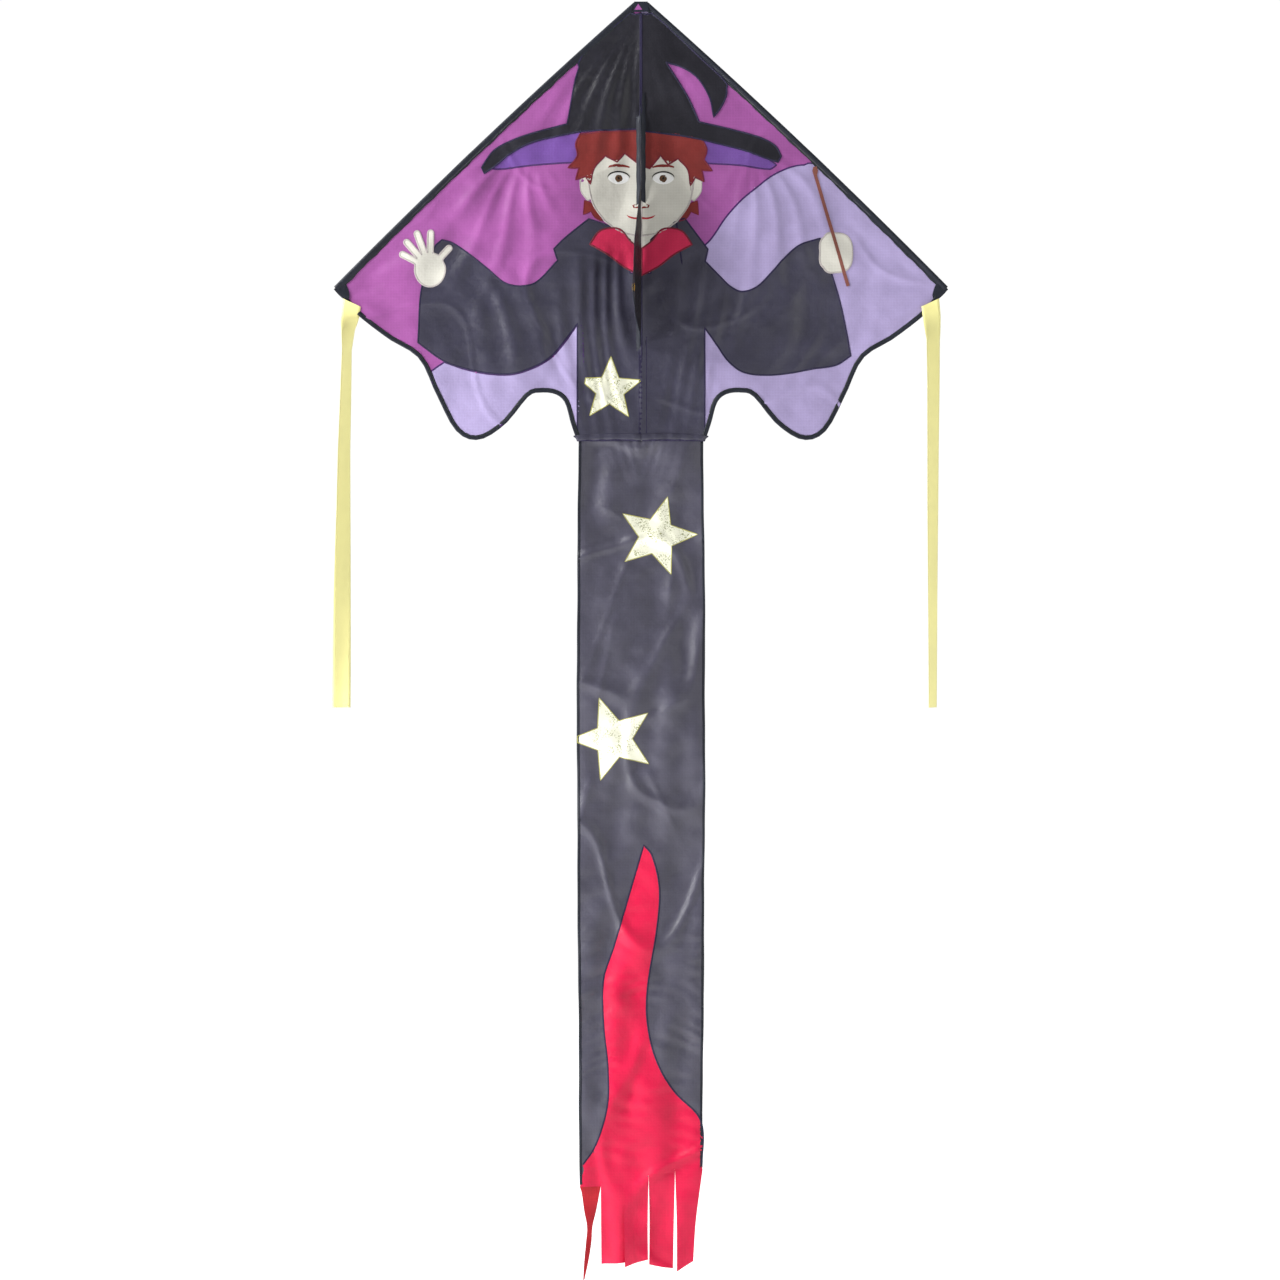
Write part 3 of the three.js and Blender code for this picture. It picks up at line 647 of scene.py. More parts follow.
def satin(name, rgb):
    """Ribbon: smooth woven tape with fine ribs across it."""
    n = Nodes(name)
    color = linear(*rgb)
    place = n.new("ShaderNodeTexCoord").outputs["UV"]
    split = n.new("ShaderNodeSeparateXYZ", {"Vector": place})
    ribs = n.math("SINE", n.math("MULTIPLY", split.outputs["Y"], 2 * math.pi / RIB_PITCH))
    cloud = n.noise(place, 12.0, 3.0)
    tone = n.mix(n.spread(cloud, 0.35, 0.65), shade(color, 0.96), shade(color, 1.02))
    normal = n.bump(ribs, 0.05 * MM, 0.4)
    normal = n.bump(cloud, 5 * MM, 0.2, normal)
    return n.finish(tone, n.spread(cloud, 0.3, 0.7, 0.42, 0.56), normal, Specular_IOR_Level=0.35)


def plain(name, rgb, gloss, metal=0.0, grain=0.0, stretch=(1, 1, 1), scale=300.0, contrast=0.15):
    """Rods, vinyl and metal: a fine grain along one way, and a little wear."""
    n = Nodes(name)
    color = linear(*rgb)
    place = n.new("ShaderNodeTexCoord").outputs["Object"]
    along = n.new("ShaderNodeMapping", {"Vector": place, "Scale": stretch}).outputs["Vector"]
    fibre = n.noise(along, scale, 4.0, 0.6)
    tone = n.mix(n.spread(fibre, 0.3, 0.7), shade(color, 1 - contrast), shade(color, 1 + contrast))
    normal = n.bump(fibre, 0.15 * MM, grain)
    return n.finish(tone, n.spread(fibre, 0.3, 0.7, gloss - 0.06, gloss + 0.1), normal, Metallic=metal)


LIGHTEN = 0.80   # cloth colours are set for a scene brighter than 1, so that its background is white


def dimmed(rgb):
    return tuple(255 * (max(c, 0) / 255) * LIGHTEN for c in rgb)


# In each nylon the numbers after the colour are gloss, the strength of its painted sheen and crumple shade
# blotches, and its specular level.
M = {
    "magenta": nylon("magenta_nylon", dimmed((180, 95, 175)), 0.5, 0.08),
    "lavender": nylon("lavender_nylon", dimmed((196, 181, 230)), 0.5, 0.06),
    "shadow": nylon("purple_nylon", dimmed((128, 84, 176)), 0.5, 0.08),
    "robe": nylon("robe_nylon", dimmed((58, 56, 77)), 0.36, 0.14, 0.6),
    "tail": nylon("tail_nylon", dimmed((82, 80, 97)), 0.36, 0.15, 0.5),
    # hat and hat_dark are two copies of one black hat cloth: the left half (hat) carries twice the painted
    # sheen blotches of the right
    "hat": nylon("hat_nylon", dimmed((33, 32, 43)), 0.38, 0.25, 0.42),
    "hat_dark": nylon("hat_dark_nylon", dimmed((42, 41, 49)), 0.5, 0.12, 0.15),
    "black": nylon("black_nylon", dimmed((36, 40, 52)), 0.45, 0.2, 0.25),
    "keel": nylon("keel_nylon", dimmed((40, 36, 42)), 0.5, 0.15, 0.2),
    "patch": nylon("keel_tape", dimmed((96, 90, 100)), 0.5, 0.15, 0.25),
    "cream": nylon("cream_nylon", dimmed((252, 249, 236)), 0.55, 0.04, 0.25),
    "hair": nylon("hair_nylon", dimmed((150, 52, 48)), 0.5, 0.12, 0.25),
    "red": nylon("red_nylon", dimmed((240, 48, 96)), 0.5, 0.08, 0.25),
    "wand": nylon("wand_cloth", dimmed((158, 96, 84)), 0.6, 0.1, 0.2),
    "white": nylon("white_nylon", (232, 232, 230), 0.5, 0.02, 0.3),
    "iris": nylon("iris_nylon", dimmed((112, 78, 52)), 0.4, 0.15, 0.3),
    "pupil": nylon("pupil_nylon", dimmed((28, 22, 24)), 0.4, 0.1, 0.3),
    "lip": nylon("lip_nylon", dimmed((205, 60, 70)), 0.5, 0.06, 0.25),
    "ribbon": satin("yellow_satin", (242, 235, 158)),
    "gold": lame("gold_lame"),
    "thread_purple": thread("purple_thread", dimmed((84, 40, 120))),
    "thread_navy": thread("navy_thread", dimmed((42, 34, 78))),
    "thread_red": thread("red_thread", dimmed((150, 36, 60))),
    "thread_black": thread("black_thread", dimmed((34, 46, 44))),
    "thread_pale": thread("pale_thread", dimmed((236, 226, 222))),
    "carbon": plain("glass_fibre", (46, 48, 54), 0.32, grain=0.15, stretch=(1, 1, 0.05)),
    "dowel": plain("dowel", (176, 138, 92), 0.55, grain=0.3, stretch=(1, 1, 0.03), scale=900.0),
    "vinyl": plain("vinyl", (34, 34, 38), 0.48, grain=0.1),
    "brass": plain("brass", (208, 168, 84), 0.26, metal=1.0, grain=0.08, contrast=0.08),
}


# ---------------------------------------------------------------- sail


def on_half(thing):
    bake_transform(thing)
    return thing


def flipped(loop, side):
    points = [(SIDES[side] * x, z) for x, z in loop]
    return points


def under_sleeve(loop, reach=17 * MM, push=4.5 * MM):
    """Moves the points beside the leading edge outwards, so that the cloth ends inside the sleeve."""
    out = []
    for x, z in loop:
        if edge_distance(x, z) < reach and abs(x) > 14 * MM:
            x += math.copysign(push * math.sin(EDGE_SLOPE), x)
            z += push * math.cos(EDGE_SLOPE)
        out.append((x, z))
    return out


def patch(name, loop, level, cloth, stitch, nodes=(), width=STITCH_WIDTH):
    """An appliqué panel with its line of stitches, on one half of the sail."""
    loop = under_sleeve(softened(loop))
    build = Build()
    build.sheet(loop, level)
    if width:
        build.stitches(loop, level, 1, width)
    thing = build.piece(name, [M[cloth], M[stitch]])
    on_half(thing)
    if nodes:
        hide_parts(*nodes)
    return thing, loop


SAIL_CLOTH = {"left": "magenta", "right": "lavender"}
SKY_CLOTH = {"left": "lavender", "right": "magenta"}


def sail_loop(side):
    """Half the sail: the wing and the centre panel, from the seam to the sleeve."""
    sign = SIDES[side]
    wing = front_loop(f"wing_panel_{side}")
    crease = sorted((p for p in wing if off_crease(p, side) < 1 * MM), key=lambda p: p[1])
    low, top = crease[0], crease[-1]
    i = wing.index(top)
    path = wing[i:] + wing[:i]
    if path[1] == low or off_crease(path[1], side) < 1 * MM:
        path = [path[0]] + path[:0:-1]
    path = path[:path.index(low) + 1]
    seam = sign * 1.0 * MM
    return path + [(seam, HEM_Z + 1 * MM), (seam, -1 * MM), (sign * 12 * MM, -1 * MM)]


def make_sail(side):
    loop = under_sleeve(softened(sail_loop(side), 30))
    build = Build()
    build.sheet(loop, 0)
    thing = build.piece(f"sail_{side}", [M[SAIL_CLOTH[side]]])
    on_half(thing)
    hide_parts(f"wing_panel_{side}", f"centre_panel_{side}")


# Outlines that only the finished sail has, in millimetres for the right half
COLLAR = [(1.2, -454), (20, -440), (38, -419), (60, -417), (78, -424), (94, -447), (60, -466), (34, -486),
          (1.2, -504)]
SHADOW = [(112, -240), (106, -296), (140, -297), (200, -301), (270, -308), (285, -300), (250, -280),
          (170, -250)]
HAIR_LEFT = [
    (-1.2, -236), (-60, -238), (-112, -244), (-120, -262), (-117, -284), (-134, -306), (-114, -306),
    (-120, -328),
    (-102, -322), (-93, -336), (-86, -306), (-66, -283), (-44, -294), (-30, -278), (-1.2, -300),
]
HAIR_RIGHT = [
    (1.2, -238), (60, -241), (110, -250), (121, -270), (116, -290), (131, -310), (112, -309), (116, -330),
    (100, -322), (91, -338), (86, -308), (68, -288), (50, -299), (36, -282), (16, -306), (1.2, -300),
]
BRIM_ROOT = 106 * MM
SHORT_BRIM = 0.80            # the brim is shorter on the right, and so is its shadow
NAPE = [(90, -372), (104, -366), (106, -392), (92, -386), (84, -398), (70, -404)]
EAR = [(92, -330), (104, -322), (112, -330), (110, -350), (98, -366), (90, -362)]
NECK = [(1.2, -424), (30, -420), (28, -446), (20, -458), (1.2, -470)]


def disc(x, z, radius, sides):
    """A circle's corners, in millimetres."""
    turns = np.linspace(0, 2 * math.pi, sides, endpoint=False)
    return [(x + radius * math.cos(a), z + radius * math.sin(a)) for a in turns]


def eye(side):
    """A calm almond eye with a round iris, its centre a fifth of the head's width from the middle."""
    sign = SIDES[side]
    x, z, wide, tall = sign * 41, -324, 19.5, 11
    white = [(x + wide * math.cos(a), z + tall * math.sin(a) * (1 - 0.25 * math.cos(a) ** 2))
             for a in np.linspace(0, 2 * math.pi, 24, endpoint=False)]
    iris = disc(x, z, 8, 20)
    pupil = disc(x, z, 3.6, 14)
    glint = disc(x + 3, z + 3, 1.7, 10)
    top = [(x + wide * 1.06 * math.cos(a), z + 1.5 + (tall + 1) * math.sin(a))
           for a in np.linspace(math.pi * 0.96, math.pi * 0.04, 12)]
    lid = top + [(px, pz - 2.6) for px, pz in reversed(top)]
    brow_top = [(x + t * 20, z + 22 + 4.0 * (1 - t * t)) for t in np.linspace(-1, 1, 9)]
    brow = brow_top + [(px, pz - 5.4 + 2.4 * abs((px - x) / 20)) for px, pz in reversed(brow_top)]
    return white, iris, pupil, glint, lid, brow


def make_face(side):
    white, iris, pupil, glint, lid, brow = (millimetres(*part) for part in eye(side))
    build = Build()
    fine = 3 * MM
    build.sheet(white, 5.6, 0, fine)
    build.sheet(iris, 6.6, 1, fine)
    build.sheet(pupil, 7.6, 2, fine)
    build.sheet(glint, 8.6, 0, fine)
    build.sheet(softened(lid, 60, 2 * MM), 7, 2, fine)
    build.sheet(softened(brow, 60, 2 * MM), 6, 3, fine)
    sign = SIDES[side]
    mouth = [(1.3, -396), (12, -396.5), (22, -394), (27, -391.5), (22, -397), (12, -400), (1.3, -400)]
    build.sheet(softened(millimetres(*[(sign * x, z) for x, z in mouth]), 60, 2 * MM), 6, 4, fine)
    nostril = [(8, -371), (13, -375), (11, -378), (6, -376), (1.3, -378), (1.3, -380.5), (8, -379.5),
               (14, -379), (16, -374)]
    build.sheet(softened(millimetres(*[(sign * x, z) for x, z in nostril]), 60, 2 * MM), 6, 3, fine)
    thing = build.piece(f"face_{side}", [M["white"], M["iris"], M["pupil"], M["hair"], M["lip"]])
    on_half(thing)


def trailing_line(side):
    """The scalloped trailing edge, from the wing tip to the body."""
    path = sail_loop(side)
    tip = max(range(len(path)), key=lambda i: (abs(path[i][0]) * 1.0, path[i][1]))
    low = next(i for i in range(tip, len(path)) if path[i][1] < HEM_Z + 3 * MM)
    return path[tip:low + 1]


# Both hands are plain shapes on textbook proportions, in millimetres
HAND_LENGTH = 102                     # from the wrist to the tip of the middle finger
PALM_RADIUS = 0.275 * HAND_LENGTH
FINGER_HALF = 0.051 * HAND_LENGTH     # half the width of a finger
# degrees from the axis, share of the length
DIGITS = [(-62, 0.27), (-21, 0.41), (0, 0.44), (21, 0.40), (42, 0.32)]
HAND_LEAN = 20                        # degrees that the open hand leans outwards
FIST = (60, 72)                       # width and height of the closed hand
KNUCKLE = 0.05                        # how far the four knuckles stand out, as a share of the fist


def open_hand(x, z):
    """A round palm with the thumb and four fingers spread."""
    outline = []
    for turn, share in DIGITS:
        a = math.radians(turn + HAND_LEAN)
        along, right = Vector((-math.sin(a), math.cos(a))), Vector((math.cos(a), math.sin(a)))
        root = Vector((x, z)) + along * PALM_RADIUS * 1.06
        tip = root + along * (share * HAND_LENGTH - FINGER_HALF)
        outline.append(root + right * FINGER_HALF)
        outline += [tip + (right * math.cos(t) + along * math.sin(t)) * FINGER_HALF
                    for t in np.linspace(0, math.pi, 7)]
        outline.append(root - right * FINGER_HALF)
    first, last = DIGITS[-1][0] + HAND_LEAN + 14, 360 + DIGITS[0][0] + HAND_LEAN - 14
    for a in np.radians(np.linspace(first, last, 11)):
        wrist = 1.15 if math.cos(a) < 0 else 1.0
        outline.append(Vector((x - PALM_RADIUS * math.sin(a), z + PALM_RADIUS * wrist * math.cos(a))))
    return [tuple(p) for p in outline]


def closed_hand(x, z):
    """A rounded square with four knuckles down its left side."""
    outline = []
    for a in np.linspace(0, 2 * math.pi, 48, endpoint=False):
        c, s = math.cos(a), math.sin(a)
        out = 1 + (KNUCKLE * abs(math.sin(4 * a)) if c < 0 else 0)
        outline.append((x + out * FIST[0] / 2 * math.copysign(abs(c) ** 0.75, c),
                        z + out * FIST[1] / 2 * math.copysign(abs(s) ** 0.75, s)))
    return outline


HANDS = {"left": open_hand(-388, -492), "right": closed_hand(359, -462)}


def edge_line(side, steps):
    """Points along the rod in the leading edge, from the nose to the tip, as (|x|, z)."""
    verts = np.array([tuple(v.co) for v in frame["nodes"][f"edge_rod_{side}"].data.vertices])
    x, z = np.abs(verts[:, 0]), verts[:, 2]
    curve = np.polyfit(x, z, 2)
    xs = np.linspace(11 * MM, 562 * MM, steps)
    return [(float(px), float(np.polyval(curve, px))) for px in xs]


UNDER_SLEEVE = [
    (-385, -679), (-362, -663), (-320, -677), (-280, -685), (-237, -686), (-200, -675), (-168, -657),
    (-142, -629),
    (-118, -595),
]
# Where lavender cloth meets magenta: a wave across the right wing, from the robe up to the sleeve
WAVE = [(98, -462), (126, -440), (156, -397), (186, -364), (208, -346), (243, -319), (283, -302), (322, -300)]
UNDER_HAT = [(30, -110), (44, -230), (56, -300), (60, -400), (60, -450)]
CLOSE_TO_BODY = 0.122        # cloth nearer the middle than this is tucked under the robe
TUCK = 0.106


def sky_loop(side):
    """The second cloth: lavender under the sleeve on the left, magenta above the wave on the right."""
    edge = trailing_line(side)
    if side == "left":
        foot = [(x, z + 3 * MM) for x, z in edge if CLOSE_TO_BODY > -x - 0.27 and -x < 0.392]
        return millimetres(*UNDER_SLEEVE) + [(-TUCK, -0.597), (-TUCK, -0.806)] + foot[::-1]
    rod = [(x - 3 * MM, z - 3 * MM) for x, z in edge_line("right", 40) if 34 * MM < x < 322 * MM]
    return millimetres(*WAVE) + rod[::-1] + millimetres(*UNDER_HAT)


def make_picture():
    for side in SIDES:
        make_sail(side)
        hat_cloth = "hat" if side == "left" else "hat_dark"
        parts = [
            ("shadow", millimetres(*SHADOW), 1.8, "shadow", "thread_purple", "lavender_nylon", ()),
            ("sky", sky_loop(side), 1, SKY_CLOTH[side], "thread_purple", f"{SKY_CLOTH[side]}_nylon",
             (f"sky_patch_{side}",)),
            ("robe", None, 2.6, "robe", "thread_navy", "robe_nylon",
             (f"robe_inner_{side}", f"robe_outer_{side}")),
            ("neck", millimetres(*NECK), 2.7, "cream", "thread_pale", "cream_nylon", ()),
            ("ear", millimetres(*EAR), 2.2, "cream", "thread_pale", "cream_nylon", ()),
            ("nape", millimetres(*NAPE), 2.8, "hair", "thread_red", "red_nylon", ()),
            ("head", None, 3.6, "cream", "thread_pale", "cream_nylon",
             (f"head_inner_{side}", f"head_outer_{side}")),
            ("collar", millimetres(*COLLAR), 4.8, "red", "thread_red", "red_nylon", ()),
            ("hair", millimetres(*(HAIR_LEFT if side == "left" else HAIR_RIGHT)), 5, "hair", "thread_red",
             "red_nylon", ()),
            ("hat", None, 6.8, hat_cloth, "thread_navy", "hat_nylon",
             (f"hat_inner_{side}", f"hat_outer_{side}")),
            ("hand", millimetres(*HANDS[side]), 4, "cream", "thread_pale", "cream_nylon", (f"hand_{side}",)),
        ]
        for name, loop, level, cloth, stitch, slot, nodes in parts:
            if loop is None:
                loop = joined_loop(*nodes, side)
            elif not nodes and name not in ("hair", "sky"):
                loop = flipped(loop, side)
            if name == "shadow" and side == "right":
                loop = [(BRIM_ROOT + (x - BRIM_ROOT) * SHORT_BRIM, z) for x, z in loop]
            width = SMALL_STITCH if name in ("ear", "nape", "neck") else STITCH_WIDTH
            thing, outline = patch(f"cloth_{name}_{side}", loop, level, cloth, stitch, nodes,
                                   width)
        make_face(side)
    thing, outline = patch("cloth_wand", front_loop("wand"), 7.5, "wand", "thread_red",
                           ("wand",), 0)


make_picture()


# ---------------------------------------------------------------- edges of the sail

def make_binding(side):
    line = trailing_line(side)
    build = Build()
    inwards = -SIDES[side] * BINDING
    half = half_thickness(4)
    fold = [(0.5, -half), (-0.2, -1.1 * half), (-0.5, -half), (-0.56, 0), (-0.5, half),
            (-0.2, 1.1 * half), (0.5, half)]
    metres = [(share * BINDING, rise) for share, rise in fold]
    section = [(u / BINDING * math.copysign(1, inwards), v) for u, v in walled(metres, BINDING_WALL)]
    build.stitches(line, 4, 0, BINDING, inwards * 0.42, closed=False, section=section)
    build.stitches(line, 4.9, 1, 1.1 * MM, inwards * 0.68, closed=False)
    thing = build.piece(f"binding_{side}", [M["black"], M["thread_black"]])
    on_half(thing)
    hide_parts(f"trailing_binding_{side}")


BINDING = 8 * MM             # width of the folded binding on each face
BINDING_WALL = 0.2 * MM
for each in SIDES:
    make_binding(each)


# The outside of the sleeve's section: (distance inwards from the rod, y), round the rod and down to the seam
SLEEVE_FOLD = [(9.6, -1.0), (7.4, -1.3), (4.6, -1.9), (3.0, -2.9), (1.2, -3.5), (-1.0, -3.6),
               (-2.9, -2.5), (-3.9, -0.9),
          (-3.9, 0.9), (-2.9, 2.5), (-1.0, 3.6), (1.2, 3.5), (3.0, 2.9), (4.6, 1.9), (7.4, 1.3), (9.6, 1.0)]
SLEEVE = walled(SLEEVE_FOLD, 0.3)
WINDOW = (307 * MM, 345 * MM)     # the sleeve is open behind, here, for the spreader's clip


def make_sleeve(side):
    sign = SIDES[side]
    line = edge_line(side, 180)
    line += [(WINDOW[i] + d, None) for i in (0, 1) for d in (-0.3 * MM, 0.3 * MM)]
    known = np.array([p for p in line if p[1] is not None])
    line = sorted((x, float(np.interp(x, known[:, 0], known[:, 1])) if z is None else z) for x, z in line)
    rings, uvs, run = [], [], 0.0
    for i, (x, z) in enumerate(line):
        before, after = line[max(i - 1, 0)], line[min(i + 1, len(line) - 1)]
        along = Vector((after[0] - before[0], after[1] - before[1])).normalized()
        inward = Vector((along.y, -along.x))
        run += math.dist(line[i - 1], (x, z)) if i else 0
        cut_open = WINDOW[0] < x < WINDOW[1]
        ruffle = 1 + 0.05 * math.sin(run * 210) + 0.06 * math.sin(run * 87 + 1)
        ring = []
        for u, y in SLEEVE:
            if cut_open:
                y = min(y, -1.9) if u < 6 else min(y, -1.0)
            p = Vector((x, z)) + inward * u * MM * (ruffle if u > 4 else 1)
            ring.append((sign * p.x, y * MM * (1 if cut_open else ruffle), p.y))
            uvs.append((run, u * MM))
        rings.append(ring)
    build = Build()
    build.tube(rings, 0, uvs)
    seam = []
    for i, (x, z) in enumerate(line):
        before, after = line[max(i - 1, 0)], line[min(i + 1, len(line) - 1)]
        along = Vector((after[0] - before[0], after[1] - before[1])).normalized()
        p = Vector((x, z)) + Vector((along.y, -along.x)) * 8.2 * MM
        seam.append((sign * p.x, p.y))
    build.stitches(seam, 6.6, 1, 1.2 * MM, closed=False, surface=lambda x, z: x * 0)
    thing = build.piece(f"sleeve_{side}", [M["black"], M["thread_black"]])
    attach(thing, f"{side}_wing")
    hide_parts(f"edge_sleeve_{side}")


def make_tip(side):
    corner = (SIDES[side] * 0.564, -0.534)
    shrink = 0.56
    loop = [(corner[0] + (x - corner[0]) * shrink, corner[1] + (z - corner[1]) * shrink)
            for x, z in front_loop(f"tip_patch_{side}")]
    soft = softened(loop, 40)
    build = Build()
    build.sheet(soft, 7, 0, surface=lambda x, z: rumple(x, z) * 0.4)
    thing = build.piece(f"tip_{side}", [M["black"]])
    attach(thing, f"{side}_wing")
    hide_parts(f"tip_patch_{side}")


for each in SIDES:
    make_sleeve(each)
    make_tip(each)


def make_nose():
    loop = front_loop("nose_patch")
    build = Build()
    build.sheet(softened(loop, 40, 3 * MM), 1, 0, 3 * MM, surface=lambda x, z: x * 0 - 3.7 * MM)
    thing = build.piece("nose", [M["black"]])
    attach(thing, "centre")
    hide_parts("nose_patch")
    mark = millimetres((-5, -4), (-12, -15), (2, -15))
    build = Build()
    build.sheet(mark, 1, 0, 3 * MM, surface=lambda x, z: x * 0 - 4.2 * MM)
    thing = build.piece("nose_mark", [M["magenta"]])
    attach(thing, "centre")


make_nose()


# The spine sleeve's section: (x, y), a flat strip with a hump over the rod
SPINE_SECTION = [(-8.5, 0.7), (-8.4, 1.3), (-5.2, 1.7), (-4.0, 3.4), (-3.4, 5.6), (-1.9, 7.5), (0, 8.1),
                 (1.9, 7.5), (3.4, 5.6), (4.0, 3.4), (5.2, 1.7), (8.4, 1.3), (8.5, 0.7)]


def make_spine_sleeve():
    low_box, high_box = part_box("spine_sleeve")
    rings, uvs = [], []
    for z in np.linspace(high_box[2], low_box[2], 190):
        pinch = 1 + 0.03 * math.sin(z * 190) + 0.03 * math.sin(z * 83 + 2)
        rings.append([(x * MM * pinch, y * MM * (pinch if y > 2 else 1), z) for x, y in SPINE_SECTION])
        uvs += [(x * MM, z) for x, _ in SPINE_SECTION]
    build = Build()
    build.tube(rings, 0, uvs)
    for x in (-6.8, 6.8):
        seam = [(x * MM, z) for z in np.linspace(high_box[2] - 2 * MM, low_box[2] + 2 * MM, 150)]
        build.stitches(seam, 0.0, 1, 1.2 * MM, closed=False, surface=lambda x, z: x * 0 + 1.35 * MM)
    thing = build.piece("spine_pocket", [M["black"], M["thread_purple"]])
    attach(thing, "centre")
    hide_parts("spine_sleeve")


make_spine_sleeve()


# The gathered hem at the foot of the body, a little wider than the tail, and the pocket down the lower seam
HEM_DEEP = 2.6 * MM           # half the roll, front to back
HEM_HIGH = 6.6 * MM           # half the roll, up and down
HEM_ROLL = np.linspace(math.radians(8), math.radians(352), 15)   # round the roll, from its slit at the back


def make_hem(side):
    sign = SIDES[side]
    xs = np.linspace(0.4 * MM, 124 * MM, 60)
    rings, uvs = [], []
    for x in xs:
        swell = 1 + 0.16 * math.sin(x * 240) + 0.12 * math.sin(x * 97 + 1)
        end = float(smoothstep(124 * MM, 114 * MM, x)) * 0.8 + 0.2
        middle = HEM_Z + 7 * MM + 1.5 * MM * math.sin(x * 33) + (1 - end) * 4 * MM
        y = float(rumple(sign * x, HEM_Z + 8 * MM))
        ring = []
        for wall in (1.0, 0.86):
            turns = HEM_ROLL if wall == 1.0 else HEM_ROLL[::-1]
            for a in turns:
                ring.append((sign * x, y + wall * HEM_DEEP * swell * end * math.cos(a),
                             middle + wall * HEM_HIGH * end * math.sin(a)))
                uvs.append((sign * x, 7 * MM * a))
        rings.append(ring)
    build = Build()
    build.tube(rings, 0, uvs)
    low = [(sign * x, HEM_Z + 1.6 * MM + 1.2 * MM * math.sin(x * 33)) for x in xs[1:-3]]
    build.stitches(low, 8, 1, 2.2 * MM, closed=False, surface=lambda x, z: rumple(x, z * 0 + HEM_Z + 8 * MM))
    thing = build.piece(f"hem_{side}", [M["robe"], M["thread_navy"]])
    on_half(thing)


for each in SIDES:
    make_hem(each)


def make_seam_pocket():
    loop = millimetres((-3.5, -615), (11, -615), (11, -796), (-3.5, -796))
    build = Build()
    build.sheet(softened(loop, 40), 3.8)
    for x in (-3.5, 10):
        line = [(x * MM, z) for z in np.linspace(-0.616, -0.795, 60)]
        build.stitches(line, 4.0, 1, 1.3 * MM, closed=False)
    thing = build.piece("seam_pocket", [M["robe"], M["thread_navy"]])
    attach(thing, "centre")


make_seam_pocket()


# ---------------------------------------------------------------- rods, clips and caps

SAME_POINT = 1e-6               # metres: points closer than this are one
FLAT_ANGLE = math.radians(2)    # faces that meet at less are one face


def hard_copy(node, body, material, angle=28, width=0.35 * MM):
    """A rigid piece in its CAD shape, with its edges rounded over."""
    source = frame["nodes"][node]
    mesh = source.data.copy()
    bm = bmesh.new()
    bm.from_mesh(mesh)
    bmesh.ops.remove_doubles(bm, verts=bm.verts, dist=SAME_POINT)
    bmesh.ops.dissolve_limit(bm, angle_limit=FLAT_ANGLE, verts=bm.verts, edges=bm.edges)
    crease = [e for e in bm.edges if len(e.link_faces) == 2 and e.calc_face_angle(0) > math.radians(angle)]
    bmesh.ops.bevel(bm, geom=crease, offset=width, segments=2, affect="EDGES", clamp_overlap=True)
    bmesh.ops.triangulate(bm, faces=[f for f in bm.faces if len(f.verts) > 4])
    bm.to_mesh(mesh)
    bm.free()
    mesh.materials.clear()
    mesh.materials.append(material)
    mesh.polygons.foreach_set("material_index", np.zeros(len(mesh.polygons), dtype=np.int32))
    mesh.shade_smooth()
    mesh.set_sharp_from_angle(angle=math.radians(angle + 12))
    thing = bpy.data.objects.new(f"{node}_rounded", mesh)
    bpy.context.scene.collection.objects.link(thing)
    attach(thing, body)
    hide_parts(node)
    return thing


HARD = [
    ("spine_rod", "centre", "carbon", "carbon_rod"),
    ("spine_nose_cap", "centre", "vinyl", "black_vinyl"),
    ("spine_tail_cap", "centre", "vinyl", "black_vinyl"),
    ("edge_rod_left", "left_wing", "carbon", "carbon_rod"),
    ("edge_rod_right", "right_wing", "carbon", "carbon_rod"),
    ("spreader_rod", "spreader", "carbon", "carbon_rod"),
    ("spreader_clip_left", "spreader", "vinyl", "black_vinyl"),
    ("spreader_clip_right", "spreader", "vinyl", "black_vinyl"),
    ("tow_grommet", "keel", "brass", "brass"),
]
for node_name, body_name, look, slot_name in HARD:
    hard_copy(node_name, body_name, M[look])


# ---------------------------------------------------------------- keel

KEEL_LEAN = math.radians(6)
KEEL_AXIS_Y = JOINTS["keel_swing"]["pos_m"][1]
KEEL = millimetres((1, -630), (1, -190), (60, -340), (122, -496), (139, -524), (145, -542), (133, -556),
                   (70, -592))
KEEL_PATCH = millimetres((98, -502), (120, -503), (138.5, -526), (142, -542), (131, -554), (98, -566))
TOW_EYE = (128 * MM, -538 * MM)   # distance from the axis, and height


def stand_off(build, shift=0.0):
    """Turns what was laid out flat so that it stands out from the sail, leaning to the left."""
    s, c = math.sin(KEEL_LEAN), math.cos(KEEL_LEAN)
    build.vertices = [(-u * s + (off + shift) * c, KEEL_AXIS_Y - u * c - (off + shift) * s, z)
                      for u, off, z in build.vertices]


def keel_rumple(u, z):
    hold = smoothstep(2 * MM, 45 * MM, u) * (1 - smoothstep(100 * MM, 125 * MM, u)
                                             * smoothstep(-0.47, -0.50, z))
    return hold * (2.2 * MM * BILLOW(u * 0.7, z) + 0.9 * MM * DENTS(u, z)) + 0.2 * MM * CRUMPLE(u, z)


